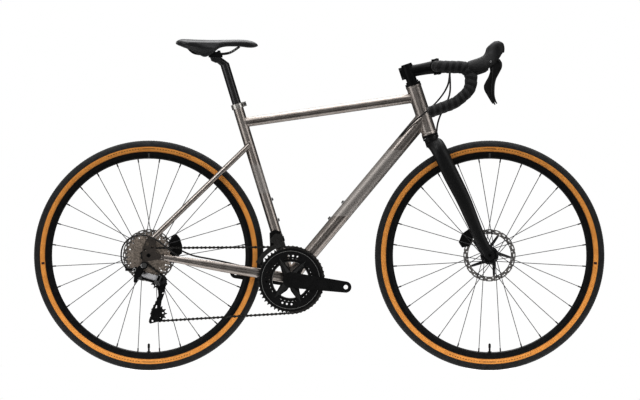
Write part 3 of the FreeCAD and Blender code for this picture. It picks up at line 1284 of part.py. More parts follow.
def saddle():
    rings = []
    for x, half, top, low in SADDLE:
        rings.append(oval(Vector(x, 0, (top + low) / 2), Vector(1, 0, 0), LEFT, 2 * half, top - low))
    feature("saddle_cover", loft(rings))
    wings = slab([
        (-432, 986.5), (-300, 986.5), (-308, 981), (-318, 974), (-334, 962), (-353, 957.5), (-372, 966),
        (-400, 979), (-420, 986),
    ], -42, -39)
    pan = Part.Face(Part.makePolygon([Vector(x, y, 984.2) for x, y in (
        (-428, -42), (-375, -52), (-330, -30), (-215, -12), (-215, 12), (-330, 30), (-375, 52),
        (-428, 42), (-428, -42))])).extrude(Vector(0, 0, 2.2))
    shell = pan.fuse([wings, mirrored(wings)])
    feature("saddle_shell", shell)
    route = [
        Vector(-244, -14, 990), Vector(-258, -17, 980), Vector(-274, -20, 970),
        Vector(-292, -22, 967.2), Vector(-352, -22, 967.2), Vector(-386, -24, 972.0),
        Vector(-408, -27, 983.5),
    ]
    radius = size_of("rail_radius")
    rail = hose(route, radius, "saddle rail", radii=[60.0, 30.0, 60.0, 60.0, 40.0])
    rail = rail.cut(Part.makeBox(400, 200, 20, Vector(-500, -100, 984.1)))
    feature("saddle_rails", pair(rail))
    post_low = BB + SEAT_UP * 400
    bend = BB + SEAT_UP * 690
    post = rod(post_low, bend, size_of("post_radius"), size_of("post_radius") - 2.5)
    neck_top = oval(Vector(-308, 0, 950), Vector(-0.6, 0, 0.8), LEFT, 26, 22)
    neck = loft([oval(bend, SEAT_UP, LEFT, 27.2, 27.2), neck_top])
    cradle = slab([(-334, 956.5), (-300, 956.5), (-303, 945), (-316, 940), (-330, 946)], -15, 15)
    feature("seatpost", post.fuse([neck, cradle]))
    lower = slab([(-338, 957), (-296, 957), (-296, 967), (-338, 967)], -30, 30)
    upper = slab([(-334, 967.6), (-300, 967.6), (-302, 974), (-332, 974)], -30, 30)
    rails = pair(rod(Vector(-360, -22, 967.2), Vector(-280, -22, 967.2), radius + 0.25))
    bolts = []
    for x in (-327, -307):
        bolts.append(rod(Vector(x, 0, 957.5), Vector(x, 0, 976.5), 2.5).fuse(
            rod(Vector(x, 0, 974.05), Vector(x, 0, 978), 4.5)))
    drill = [rod(Vector(x, 0, 950), Vector(x, 0, 980), 2.5 + SEAM) for x in (-327, -307)]
    lower = lower.cut([rails] + drill)
    upper = upper.cut([rails] + drill)
    feature("rail_clamp", Part.makeCompound([lower, upper] + bolts))


# ---------------------------------------------------------------- cables and hoses
def cables():
    """Hoses and cables, each along its own route."""
    cable = size_of("cable_radius")
    pipe = size_of("hose_radius")
    gear = hose([
        Vector(-436, -75, 352), Vector(-458, -79, 369), Vector(-484, -83, 390), Vector(-514, -86, 409),
        Vector(-549, -88, 416), Vector(-580, -88, 405), Vector(-601, -88, 381), Vector(-606, -87, 351),
        Vector(-601, -86, 325), Vector(-586, -85, 308.9),
    ], cable, "gear cable loop")
    gear = gear.cut(rod(Vector(-561, -85, 308), Vector(-592.1, -85, 309), 5.05))
    rear = hose([
        Vector(-424, 70, 366), Vector(-404, 72, 356), Vector(-378, 69, 347.5), Vector(-340, 62, 341),
        Vector(-300, 55, 333), Vector(-270, 51, 326), Vector(-230, 49.5, 316),
    ], pipe, "rear brake hose")
    feature("rear_cables", Part.makeCompound([largest(gear), rear]))
    front = hose([
        Vector(398, -120, 912), Vector(401, -96, 872), Vector(399, -70, 842), Vector(387, -36, 810),
        Vector(371, -6, 782), Vector(362, 14, 754), Vector(359, 22, 726), Vector(357, 24, 694),
    ], pipe, "front brake hose")
    front = largest(front.cut(nodes["fork"].Shape))
    tube = rod(down_tube_low, down_tube_high, size_of("down_tube_radius") + SEAM)
    ported = []
    for side in (-1, 1):
        cable_run = hose([
            Vector(400, side * 90, 914), Vector(399, side * 80, 886), Vector(388, side * 66, 858),
            Vector(370, side * 50, 832), Vector(346, side * 38, 806), Vector(318, side * 31, 783),
            Vector(292, side * 27, 762), Vector(268, side * 22, 740), Vector(245, side * 11, 710),
        ], cable, "down tube cable")
        ported.append(largest(cable_run.cut(tube)))
    feature("front_cables", Part.makeCompound([front] + ported))


# ---------------------------------------------------------------- build
def build():
    frame_tubes()
    rear_end()
    bottle_bosses()
    bearing_cups()
    for where, centre in (("front", FRONT_AXLE), ("rear", REAR_AXLE)):
        tyre(where + "_tyre", centre)
        rim(where + "_rim", centre)
    front_hub()
    rear_hub()
    spokes("front_spokes", FRONT_AXLE, [(-33, 20.0), (22, 21.0)], 96.4)
    spokes("rear_spokes", REAR_AXLE, [(-19, 22.0), (34, 22.0)], 96.4)
    rotor("front_rotor", FRONT_AXLE, size_of("front_rotor_y"), 17 + SEAM)
    rotor("rear_rotor", REAR_AXLE, size_of("rear_rotor_y"), 18 + SEAM)
    thru_axles()
    tension, rollers = closed_chain()
    chain(rollers)
    cassette(rollers)
    chainrings(rollers)
    cranks()
    rear_derailleur(tension, rollers)
    front_derailleur()
    calipers()
    fork()
    cockpit()
    handlebar()
    levers()
    saddle()
    cables()


build()
doc.recompute()
for item in doc.Objects:
    bad = [state for state in item.State if state in ("Invalid", "Error")]
    if bad:
        raise SystemExit(f"{item.Label} is {bad}")
for name, item in nodes.items():
    shape = item.Shape
    if shape.isNull() or not shape.isValid():
        raise SystemExit(f"{name} has no valid shape")
    shape.exportStep(f"parts/{name}.step")
print(len(nodes), "nodes")
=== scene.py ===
"""The looks of a titanium road bicycle with a drop bar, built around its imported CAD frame.

Metres: +X is forward, +Y the rider's left and +Z up. Routes and outlines are listed in
millimetres, and mm() turns them into metres. CAD nodes keep their meshes and get finishes;
tyres, saddle, tape, hoods, levers and cables are built here in place of their plain solids.
"""
import json
import math

import bmesh
import bpy
from mathutils import Matrix, Vector


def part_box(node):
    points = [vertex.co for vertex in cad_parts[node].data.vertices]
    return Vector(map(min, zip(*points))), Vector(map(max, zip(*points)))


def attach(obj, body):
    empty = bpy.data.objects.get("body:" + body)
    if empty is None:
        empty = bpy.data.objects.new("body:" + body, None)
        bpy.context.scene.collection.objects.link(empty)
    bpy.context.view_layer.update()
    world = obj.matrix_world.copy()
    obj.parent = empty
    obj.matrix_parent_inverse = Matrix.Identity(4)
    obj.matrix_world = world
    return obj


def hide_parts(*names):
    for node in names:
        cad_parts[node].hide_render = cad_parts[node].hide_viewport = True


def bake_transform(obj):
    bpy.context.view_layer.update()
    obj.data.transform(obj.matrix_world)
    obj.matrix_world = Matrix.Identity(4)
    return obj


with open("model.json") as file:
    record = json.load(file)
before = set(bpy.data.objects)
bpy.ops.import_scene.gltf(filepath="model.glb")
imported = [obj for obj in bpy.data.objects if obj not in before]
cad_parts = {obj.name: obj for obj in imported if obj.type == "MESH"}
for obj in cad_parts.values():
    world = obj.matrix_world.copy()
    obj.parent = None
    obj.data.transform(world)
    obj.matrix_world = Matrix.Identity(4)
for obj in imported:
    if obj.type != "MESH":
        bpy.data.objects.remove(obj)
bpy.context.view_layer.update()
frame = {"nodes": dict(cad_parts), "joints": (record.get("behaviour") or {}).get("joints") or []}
nodes = frame["nodes"]

MM = 0.001
X, Y, Z = Vector((1, 0, 0)), Vector((0, 1, 0)), Vector((0, 0, 1))
TAU = 2 * math.pi


def mm(*values):
    """A point listed in millimetres, in metres."""
    return Vector(values) * MM


def joint(name):
    return next(j for j in frame["joints"] if j["name"] == name)


REAR_AXLE = Vector(joint("rear_wheel_spin")["pos_m"])
FRONT_AXLE = Vector(joint("front_wheel_spin")["pos_m"])
CRANK_AXLE = Vector(joint("crank_spin")["pos_m"])
HEAD_UP = Vector(joint("steering")["axis"]).normalized()
SEAT_UP = Vector(joint("seatpost_slide")["axis"]).normalized()
HEAD_LOW = Vector(joint("steering")["pos_m"])
TYRE_RADIUS = REAR_AXLE.z
TYRE_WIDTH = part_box("rear_tyre")[1].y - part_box("rear_tyre")[0].y
RIM_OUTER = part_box("rear_rim")[1].z - REAR_AXLE.z
RIM_INNER = RIM_OUTER - 21 * MM
SIDES = ((-1, "right"), (1, "left"))
WHEELS = (("front", FRONT_AXLE), ("rear", REAR_AXLE))


# ------------------------------------------------------------------ finishes
class Finish:
    """A material being built; add() makes a node and gives one of its outputs."""

    def __init__(self, name, colour=(0.5, 0.5, 0.5), rough=0.5, metal=0.0, more=()):
        self.material = bpy.data.materials.new(name)
        self.material.use_nodes = True
        self.tree = self.material.node_tree
        self.shader = self.tree.nodes["Principled BSDF"]
        self.put("Base Color", (*colour, 1))
        self.put("Roughness", rough)
        self.put("Metallic", metal)
        for label, value in dict(more).items():
            self.put(label, value)
        self.here = self.add("TexCoord", out="Object")

    def put(self, label, value):
        self.feed(self.shader.inputs[label], value)

    def feed(self, socket, value):
        if isinstance(value, bpy.types.NodeSocket):
            self.tree.links.new(value, socket)
        else:
            socket.default_value = value

    def add(self, kind, inputs=(), out=0, **settings):
        node = self.tree.nodes.new("ShaderNode" + kind)
        for key, value in settings.items():
            setattr(node, key, value)
        for key, value in dict(inputs).items():
            self.feed(node.inputs[key], value)
        return node.outputs[out]

    def math(self, operation, a, b=0.0):
        return self.add("Math", {0: a, 1: b}, operation=operation)

    def mix(self, amount, a, b):
        a = a if isinstance(a, bpy.types.NodeSocket) else (*a, 1)
        b = b if isinstance(b, bpy.types.NodeSocket) else (*b, 1)
        return self.add("Mix", {0: amount, 6: a, 7: b}, out=2, data_type="RGBA")

    def span(self, value, low, high, first=0.0, last=1.0):
        """value taken smoothly from low..high to first..last, and held beyond them."""
        return self.add("MapRange", {0: value, 1: low, 2: high, 3: first, 4: last},
                        interpolation_type="SMOOTHSTEP")

    def scaled(self, scale, turn):
        """Object coordinates, turned first and then scaled."""
        turned = self.add("Mapping", {"Vector": self.here, "Rotation": turn})
        return self.add("Mapping", {"Vector": turned, "Scale": scale})

    def noise(self, scale, detail=3.0, vector=None):
        return self.add("TexNoise", {"Vector": vector or self.here, "Scale": scale, "Detail": detail,
                                     "Roughness": 0.55})

    def cells(self, scale):
        return self.add("TexVoronoi", {"Vector": self.here, "Scale": scale})

    def axis(self, label):
        return self.add("SeparateXYZ", {0: self.here}, out=label)

    def between(self, value, low, high, soft):
        """1 where value lies from low to high, with soft edges."""
        rise = self.span(value, low - soft, low + soft)
        fall = self.span(value, high - soft, high + soft, 1.0, 0.0)
        return self.math("MULTIPLY", rise, fall)

    def polar(self, centre):
        """Radius from a wheel's axis, and the turn from straight up, forward positive, in degrees."""
        x = self.math("SUBTRACT", self.axis("X"), centre.x)
        z = self.math("SUBTRACT", self.axis("Z"), centre.z)
        squares = self.math("ADD", self.math("POWER", x, 2.0), self.math("POWER", z, 2.0))
        radius = self.math("SQRT", squares)
        turn = self.math("MULTIPLY", self.math("ARCTAN2", x, z), 180 / math.pi)
        return radius, turn

    def bump(self, *layers):
        """Heights in metres, each (socket, depth), added up into one bump."""
        normal = None
        for height, depth in layers:
            inputs = {"Height": height, "Distance": depth, "Strength": 1.0}
            if normal:
                inputs["Normal"] = normal
            normal = self.add("Bump", inputs)
        self.put("Normal", normal)

    def wander(self, value, first, last):
        """Two tones, parted by the middle of a texture's range."""
        return self.mix(self.span(value, 0.3, 0.7), first, last)

    def uneven(self, value, low, high):
        """Roughness that follows a texture from low to high."""
        self.put("Roughness", self.span(value, 0.3, 0.7, low, high))

    def ripple(self, value, pitch):
        """A sine wave of one pitch along a value."""
        return self.math("SINE", self.math("MULTIPLY", value, TAU / pitch))

    def mottle(self, colour, shade, scale, low=0.35, high=0.65):
        """Base colour that wanders between two tones."""
        amount = self.span(self.noise(scale), low, high)
        tone = self.mix(amount, colour, shade)
        self.put("Base Color", tone)
        return tone


def axis_turn(direction):
    """Euler turn that takes a direction to Z, for grain that runs along it."""
    return tuple(Vector(direction).rotation_difference(Z).to_euler())


def titanium(name, direction, panel=None):
    """Brushed titanium, its grain along one direction, with a bead-blasted band between two heights."""
    f = Finish(name, rough=0.3, metal=1.0)
    turn = axis_turn(direction)
    grain = f.noise(1.0, 4.0, f.scaled((2600, 2600, 60), turn))
    cloud = f.noise(26.0, 3.0)
    tone = f.wander(cloud, (0.36, 0.325, 0.30), (0.42, 0.385, 0.36))
    tone = f.mix(f.span(grain, 0.35, 0.75, 0.0, 0.15), tone, (0.27, 0.245, 0.225))
    rough = f.math("ADD", f.span(grain, 0.2, 0.8, 0.24, 0.30), f.span(cloud, 0.3, 0.8, 0.0, 0.06))
    layers = [(grain, 0.0000003)]
    if panel:
        mask = f.between(f.axis("Z"), panel[0] * MM, panel[1] * MM, 0.5 * MM)
        blast = f.noise(2200.0, 2.0)
        matte = f.wander(blast, (0.38, 0.355, 0.335), (0.43, 0.405, 0.385))
        tone = f.mix(mask, tone, matte)
        rough = f.add("Mix", {0: mask, 2: rough, 3: 0.5})
        layers.append((f.math("MULTIPLY", mask, blast), 0.0000008))
    f.put("Base Color", tone)
    f.put("Roughness", rough)
    f.bump(*layers)
    return f.material


def satin_black(name, colour=(0.004, 0.004, 0.0042), rough=0.36, coat=0.0):
    """Anodised or painted metal: a fine blasted skin under a thin dye."""
    f = Finish(name, rough=rough, more={"Coat Weight": coat, "Coat Roughness": 0.18,
                                        "Specular IOR Level": 0.2})
    lighter = tuple(1.4 * c + 0.0005 for c in colour)
    f.mottle(colour, lighter, 90.0)
    grit = f.noise(2600.0, 2.0)
    f.uneven(f.noise(60.0), rough - 0.05, rough + 0.07)
    f.bump((grit, 0.000012), (f.noise(420.0), 0.00001))
    return f.material


def forged_black(name):
    """Cold-forged alloy, anodised: smooth with a slightly glossier skin."""
    return satin_black(name, (0.0025, 0.0025, 0.0026), 0.24, 0.12)


def steel(name, colour=(0.52, 0.51, 0.50), rough=0.28, direction=X):
    """Ground steel with fine drag lines."""
    f = Finish(name, rough=rough, metal=1.0)
    lines = f.noise(1.0, 3.0, f.scaled((90, 3200, 3200), axis_turn(direction)))
    dull = tuple(0.62 * c for c in colour)
    f.put("Base Color", f.mix(f.span(lines, 0.3, 0.75), colour, dull))
    f.put("Roughness", f.span(f.noise(150.0), 0.25, 0.75, rough - 0.06, rough + 0.12))
    f.bump((lines, 0.000008))
    return f.material


def turned_steel(name, centre, colour, rough, dirt=0.5, pitch=0.00035):
    """Lathe-turned or ground discs: rings round an axis, with oil held in the low places."""
    f = Finish(name, rough=rough, metal=1.0)
    radius, _ = f.polar(centre)
    rings = f.ripple(radius, pitch)
    grime = f.span(f.noise(120.0, 4.0), 0.42, 0.62, 0.0, dirt)
    tone = f.mix(f.span(rings, -1.0, 1.0, 0.0, 0.25), colour, tuple(0.5 * c for c in colour))
    f.put("Base Color", f.mix(grime, tone, tuple(0.22 * c for c in colour)))
    f.put("Roughness", f.span(grime, 0.0, 1.0, rough, rough + 0.2))
    f.bump((rings, 0.000012), (f.noise(900.0), 0.00001))
    return f.material


def rotor_finish(name, centre):
    """A steel braking ring, swept by the pads, on a black anodised carrier."""
    f = Finish(name, rough=0.3, metal=1.0)
    radius, _ = f.polar(centre)
    ring = f.span(radius, 62 * MM, 64.5 * MM)
    lines = f.ripple(radius, 0.0004)
    wear_and_painted_highlight = f.noise(60.0, 4.0)
    swept = f.mix(f.span(lines, -1, 1, 0.0, 0.3), (0.40, 0.385, 0.37), (0.25, 0.24, 0.23))
    swept = f.mix(f.span(wear_and_painted_highlight, 0.4, 0.7, 0.0, 0.4), swept, (0.19, 0.18, 0.175))
    f.put("Base Color", f.mix(ring, (0.016, 0.016, 0.017), swept))
    f.put("Metallic", ring)
    f.uneven(wear_and_painted_highlight, 0.26, 0.42)
    f.bump((lines, 0.00001), (f.noise(1500.0), 0.00001))
    return f.material


def spoke_finish(name, centre):
    """Drawn steel wire, with black nipples at the rim."""
    f = Finish(name, rough=0.3, metal=0.5)
    radius, _ = f.polar(centre)
    nipple = f.span(radius, RIM_INNER - 11 * MM, RIM_INNER - 10 * MM)
    drawn = f.noise(500.0, 2.0)
    wire = f.wander(drawn, (0.075, 0.075, 0.078), (0.05, 0.05, 0.052))
    f.put("Base Color", f.mix(nipple, wire, (0.01, 0.01, 0.01)))
    f.uneven(drawn, 0.24, 0.4)
    f.bump((drawn, 0.00001))
    return f.material


def rim_finish(name, centre):
    """Near-black anodised rim, a trace of extrusion lines and one small pale block at the joint."""
    f = Finish(name, rough=0.4, more={"Specular IOR Level": 0.25})
    radius, turn = f.polar(centre)
    lines = f.ripple(radius, 0.0009)
    skin = f.noise(80.0, 3.0)
    tone = f.wander(skin, (0.003, 0.003, 0.0032), (0.006, 0.006, 0.0062))
    block = f.math("MULTIPLY", f.between(turn, -0.45, 0.55, 0.08),
                   f.between(radius, 0.299, 0.3125, 0.0004))
    f.put("Base Color", f.mix(f.math("MULTIPLY", block, 0.6), tone, (0.13, 0.13, 0.13)))
    f.uneven(skin, 0.32, 0.45)
    f.bump((lines, 0.000008), (f.noise(1800.0, 2.0), 0.00001))
    return f.material


def carbon(name):
    """Satin paint over carbon: the weave only just telegraphs through."""
    f = Finish(name, rough=0.36, more={"Coat Weight": 0.1, "Coat Roughness": 0.3,
                                       "Specular IOR Level": 0.28})
    warp = f.ripple(f.math("ADD", f.axis("X"), f.axis("Z")), 0.004)
    weft = f.ripple(f.math("SUBTRACT", f.axis("X"), f.axis("Z")), 0.004)
    weave = f.math("MULTIPLY", warp, weft)
    tone = f.mix(f.span(weave, -0.3, 0.3), (0.006, 0.006, 0.0065), (0.009, 0.009, 0.0095))
    f.put("Base Color", f.mix(f.span(f.noise(12.0), 0.35, 0.7, 0.0, 0.5), tone, (0.012, 0.012, 0.0125)))
    f.uneven(f.noise(700.0), 0.33, 0.43)
    f.bump((weave, 0.000008), (f.noise(1600.0, 2.0), 0.000012))
    return f.material


def fabric(specular, sheen, sheen_rough):
    """Shader settings of a soft surface with a dusty bloom."""
    return {"Specular IOR Level": specular, "Sheen Weight": sheen, "Sheen Roughness": sheen_rough}


def rubber(name, colour=(0.010, 0.010, 0.0103), dimple=900.0, rough=0.62):
    """Moulded rubber: a fine even dimple and a dusty bloom."""
    f = Finish(name, rough=rough, more=fabric(0.4, 0.12, 0.5))
    f.mottle(colour, tuple(1.6 * c for c in colour), 45.0)
    skin = f.cells(dimple)
    f.uneven(f.noise(70.0), rough - 0.07, rough + 0.08)
    f.bump((skin, 0.00009), (f.noise(1800.0), 0.00002))
    return f.material


def hood_rubber(name):
    """Hood rubber: smooth on top, with a painted highlight over the top and a band of raised diagonal ribs
    on the sides.
    """
    f = Finish(name, rough=0.5, more=fabric(0.35, 0.06, 0.4))
    tone = f.mottle((0.007, 0.007, 0.0072), (0.011, 0.011, 0.0113), 30.0)
    # painted highlight: the top of the hood, above a height and behind the lever, is coloured a much
    # lighter grey
    wear_and_painted_highlight = f.math("MULTIPLY", f.span(f.axis("Z"), 0.915, 0.950),
                  f.span(f.axis("X"), 0.525, 0.545, 1.0, 0.0))
    f.put("Base Color", f.mix(f.math("MULTIPLY", wear_and_painted_highlight, 0.8), tone, (0.055, 0.055, 0.056)))
    slant = f.math("ADD", f.axis("X"), f.math("MULTIPLY", f.axis("Z"), 0.7))
    ribs = f.ripple(slant, 0.0026)
    other = f.ripple(f.math("SUBTRACT", f.axis("Z"), f.axis("X")), 0.0026)
    zone = f.math("MULTIPLY", f.between(f.axis("X"), 0.468, 0.520, 0.004),
                  f.between(f.axis("Z"), 0.905, 0.966, 0.004))
    grip = f.math("MULTIPLY", f.math("MULTIPLY", ribs, other), zone)
    f.uneven(f.noise(200.0), 0.44, 0.58)
    f.bump((grip, 0.00022), (f.cells(1500.0), 0.00004))
    return f.material


def bar_wrap(name):
    """Cork-foam bar tape: a leathery skin with small pores, a painted highlight on the crest of each turn
    and painted shade in the seam between turns.
    """
    f = Finish(name, rough=0.6, more=fabric(0.3, 0.06, 0.5))
    tone = f.mottle((0.006, 0.006, 0.0062), (0.011, 0.011, 0.0113), 55.0)
    lap = f.add("Attribute", out="Fac", attribute_name="lap")
    # painted highlight: paler colour along the crest of each turn of tape
    painted_crest_highlight = f.between(lap, 0.10, 0.50, 0.09)
    tone = f.mix(f.math("MULTIPLY", painted_crest_highlight, 0.85), tone, (0.036, 0.036, 0.037))
    # painted shade: near-black colour in the seam where one turn laps the next
    painted_seam_shade = f.span(lap, 0.84, 0.98)
    f.put("Base Color", f.mix(painted_seam_shade, tone, (0.0012, 0.0012, 0.0012)))
    pores = f.span(f.cells(650.0), 0.05, 0.35)
    crinkle = f.noise(900.0, 5.0)
    f.uneven(crinkle, 0.5, 0.7)
    f.bump((pores, 0.00012), (crinkle, 0.00008))
    return f.material


def leather(name):
    """Satin saddle cover: pebbled grain, smoother and shinier along the shoulder, with a painted highlight
    on the crown.
    """
    f = Finish(name, rough=0.4, more={"Coat Weight": 0.18, "Coat Roughness": 0.25, "Sheen Weight": 0.08,
                                      "Sheen Roughness": 0.4})
    tone = f.mottle((0.014, 0.014, 0.015), (0.020, 0.020, 0.0215), 22.0)
    pebble = f.cells(750.0)
    shoulder = f.between(f.axis("Z"), 0.998, 1.006, 0.004)
    # painted highlight: the top of the saddle above a height is coloured a lighter grey
    painted_crown_highlight = f.span(f.axis("Z"), 1.000, 1.008)
    f.put("Base Color", f.mix(f.math("MULTIPLY", painted_crown_highlight, 0.8), tone, (0.070, 0.070, 0.072)))
    f.put("Roughness", f.math("SUBTRACT", f.span(f.noise(240.0), 0.3, 0.7, 0.36, 0.48),
                              f.math("MULTIPLY", shoulder, 0.12)))
    f.bump((pebble, 0.000012), (f.noise(1500.0, 4.0), 0.000006))
    return f.material


def tread_rubber(name, centre):
    """Black tyre tread: fine mould ribs across it and a bloom of dust."""
    f = Finish(name, rough=0.7, more=fabric(0.35, 0.15, 0.5))
    _, turn = f.polar(centre)
    f.mottle((0.009, 0.009, 0.0094), (0.017, 0.017, 0.0175), 60.0)
    ribs = f.ripple(turn, 0.9)
    f.uneven(f.noise(160.0), 0.6, 0.8)
    f.bump((ribs, 0.00006), (f.noise(1400.0, 3.0), 0.00005))
    return f.material


def tan_casing(name, centre):
    """Tan side wall: crossed casing threads, plain dark arcs at top and bottom, one small dark tab."""
    f = Finish(name, rough=0.55, more={"Specular IOR Level": 0.35})
    radius, turn = f.polar(centre)
    lean = f.math("MULTIPLY", radius, 140.0)
    across, along = f.math("MULTIPLY", turn, 34.0), f.math("MULTIPLY", lean, 40.0)
    warp = f.math("SINE", f.math("ADD", across, along))
    weft = f.math("SINE", f.math("SUBTRACT", across, along))
    weave = f.math("MULTIPLY", warp, weft)
    tone = f.wander(f.noise(40.0, 4.0), (0.78, 0.36, 0.085), (0.68, 0.30, 0.066))
    tone = f.mix(f.span(weave, 0.2, 1.0, 0.0, 0.35), tone, (0.38, 0.145, 0.032))
    edge = f.math("ADD", f.span(radius, 0.3165, 0.3200, 1.0, 0.0), f.span(radius, 0.3310, 0.3335))
    tone = f.mix(f.math("MULTIPLY", edge, 0.7), tone, (0.16, 0.062, 0.02))
    away = f.math("MODULO", f.math("ADD", f.math("ABSOLUTE", turn), 90.0), 180.0)
    from_pole = f.math("ABSOLUTE", f.math("SUBTRACT", away, 90.0))
    dashes = f.span(f.math("SINE", f.math("MULTIPLY", turn, 4.2)), -0.2, 0.3)
    inner_arc = f.span(from_pole, 3.0, 4.0, 1.0, 0.0)
    outer_arc = f.math("MULTIPLY", f.between(from_pole, 4.0, 23.0, 0.4), dashes)
    marks = f.math("MULTIPLY", f.math("MAXIMUM", inner_arc, outer_arc),
                   f.between(radius, 0.3250, 0.3274, 0.0002))
    tone = f.mix(f.math("MULTIPLY", marks, 0.8), tone, (0.05, 0.025, 0.014))
    end = 1.0 if centre.x > 0 else -1.0
    tab = f.math("MULTIPLY", f.between(f.math("MULTIPLY", turn, end), 93.6, 94.8, 0.1),
                 f.between(radius, 0.3195, 0.3290, 0.0003))
    f.put("Base Color", f.mix(tab, tone, (0.045, 0.012, 0.010)))
    f.uneven(f.noise(300.0), 0.48, 0.66)
    f.bump((weave, 0.00005), (f.noise(900.0, 3.0), 0.00004))
    return f.material


def ring_finish(name, centre, line_radius):
    """Chainring: forged black plate with one bright machined line near its edge."""
    f = Finish(name, rough=0.3, more={"Specular IOR Level": 0.3})
    radius, _ = f.polar(centre)
    rings = f.ripple(radius, 0.0006)
    line = f.between(radius, line_radius - 0.0005, line_radius + 0.0005, 0.0002)
    skin = f.noise(90.0)
    tone = f.wander(skin, (0.003, 0.003, 0.0032), (0.007, 0.007, 0.0073))
    teeth = f.span(radius, line_radius + 0.0065, line_radius + 0.0085, 0.0, 0.75)
    tone = f.mix(teeth, tone, (0.075, 0.073, 0.07))
    f.put("Base Color", f.mix(line, tone, (0.55, 0.55, 0.54)))
    f.put("Metallic", f.math("MAXIMUM", line, teeth))
    f.uneven(skin, 0.26, 0.38)
    f.bump((rings, 0.000006), (f.noise(1900.0, 2.0), 0.00001))
    return f.material


def rail_finish(name):
    """Saddle rails: dull black rod with pale graduations on the front slope."""
    f = Finish(name, rough=0.35, metal=0.6)
    x = f.axis("X")
    ticks = f.span(f.ripple(x, 0.005), 0.55, 0.8)
    zone = f.between(x, -0.278, -0.244, 0.001)
    skin = f.noise(300.0)
    tone = f.wander(skin, (0.014, 0.014, 0.014), (0.024, 0.024, 0.024))
    f.put("Base Color", f.mix(f.math("MULTIPLY", ticks, zone), tone, (0.5, 0.5, 0.5)))
    f.uneven(skin, 0.3, 0.45)
    f.bump((skin, 0.00001))
    return f.material


def plastic(name, colour=(0.007, 0.007, 0.0073), rough=0.42):
    """Glass-filled nylon: spark-eroded skin."""
    f = Finish(name, rough=rough, more={"Specular IOR Level": 0.45})
    f.mottle(colour, tuple(1.8 * c for c in colour), 110.0)
    f.uneven(f.noise(260.0), rough - 0.06, rough + 0.08)
    f.bump((f.cells(1800.0), 0.00004))
    return f.material


def chain_finish(name):
    """Dark plated chain: plates rubbed brighter on their faces, oil between them."""
    f = Finish(name, rough=0.32, metal=1.0)
    rub = f.noise(260.0, 4.0)
    oil = f.noise(700.0, 3.0)
    tone = f.mix(f.span(rub, 0.42, 0.66), (0.05, 0.048, 0.046), (0.15, 0.145, 0.14))
    f.put("Base Color", f.mix(f.span(oil, 0.5, 0.68, 0.0, 0.8), tone, (0.03, 0.028, 0.026)))
    f.uneven(oil, 0.26, 0.46)
    f.bump((rub, 0.00002), (oil, 0.00002))
    return f.material


def assign(node, material):
    """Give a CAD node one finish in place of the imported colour."""
    data = nodes[node].data
    data.materials.clear()
    data.materials.append(material)


# ------------------------------------------------------------------ mesh helpers
def piece_of(name, verts, faces, finish, smooth=True):
    data = bpy.data.meshes.new(name)
    data.from_pydata([tuple(v) for v in verts], [], faces)
    data.materials.append(finish)
    if smooth:
        data.shade_smooth()
    piece = bpy.data.objects.new(name, data)
    bpy.context.scene.collection.objects.link(piece)
    return piece


def fasten(piece, body, stands_for=()):
    """Let a finished piece ride on its body and stand for the CAD nodes that it hides."""
    if body:
        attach(piece, body)
    if stands_for:
        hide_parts(*stands_for)
    return piece


def skin(rings, closed=False):
    """Quads through a list of equal rings; open ends are capped with one face each."""
    size = len(rings[0])
    verts = [v for ring in rings for v in ring]
    faces = []
    spans = len(rings) if closed else len(rings) - 1
    for i in range(spans):
        here, there = i * size, ((i + 1) % len(rings)) * size
        for j in range(size):
            k = (j + 1) % size
            faces.append((here + j, here + k, there + k, there + j))
    if not closed:
        faces.append(tuple(range(size))[::-1])
        faces.append(tuple(range(len(verts) - size, len(verts))))
    return verts, faces


def outward(piece):
    """Point every face outward."""
    shell = bmesh.new()
    shell.from_mesh(piece.data)
    bmesh.ops.recalc_face_normals(shell, faces=shell.faces)
    shell.to_mesh(piece.data)
    shell.free()
    return piece


def basis(direction):
    """Two unit vectors square to a direction."""
    direction = Vector(direction).normalized()
    guide = X if abs(direction.x) < 0.7 else Z
    first = direction.cross(guide).normalized()
    return first, direction.cross(first).normalized()


def lathe(name, profile, centre, direction, finish, steps=32):
    """A closed turned solid: profile is (radius, height) from the bottom centre round to the top."""
    direction = Vector(direction).normalized()
    first, second = basis(direction)
    rings = []
    for radius, height in profile:
        ring = []
        for k in range(steps):
            turn = TAU * k / steps
            out = first * math.cos(turn) + second * math.sin(turn)
            ring.append(centre + direction * (height * MM) + out * (max(radius, 0.01) * MM))
        rings.append(ring)
    piece = piece_of(name, *skin(rings), finish)
    return crisp(outward(piece))


def crisp(piece, degrees=35):
    """Smooth shading that keeps edges sharper than an angle."""
    piece.data.set_sharp_from_angle(angle=math.radians(degrees))
    return piece


def joined(name, parts):
    """Several meshes as one piece."""
    bpy.ops.object.select_all(action="DESELECT")
    for part in parts:
        part.select_set(True)
    bpy.context.view_layer.objects.active = parts[0]
    bpy.ops.object.join()
    parts[0].name = name
    parts[0].data.name = name
    return parts[0]


def route_line(name, points, radius):
    """A smooth NURBS curve led by its control points, with a round section."""
    curve = bpy.data.curves.new(name, "CURVE")
    curve.dimensions = "3D"
    spline = curve.splines.new("NURBS")
    spline.points.add(len(points) - 1)
    for slot, point in zip(spline.points, points):
        slot.co = (*point, 1)
    spline.order_u = 3
    spline.use_endpoint_u = True
    spline.resolution_u = 10
    curve.bevel_depth = radius
    curve.bevel_resolution = 5
    curve.use_fill_caps = True
    return bpy.data.objects.new(name, curve)


def cable_piece(name, points, radius, finish):
    """The round tube mesh of a route_line."""
    holder = route_line(name + "_line", points, radius)
    bpy.context.scene.collection.objects.link(holder)
    data = bpy.data.meshes.new_from_object(holder)
    bpy.data.objects.remove(holder)
    data.name = name
    data.materials.clear()
    data.materials.append(finish)
    data.shade_smooth()
    piece = bpy.data.objects.new(name, data)
    bpy.context.scene.collection.objects.link(piece)
    return crisp(piece, 50)


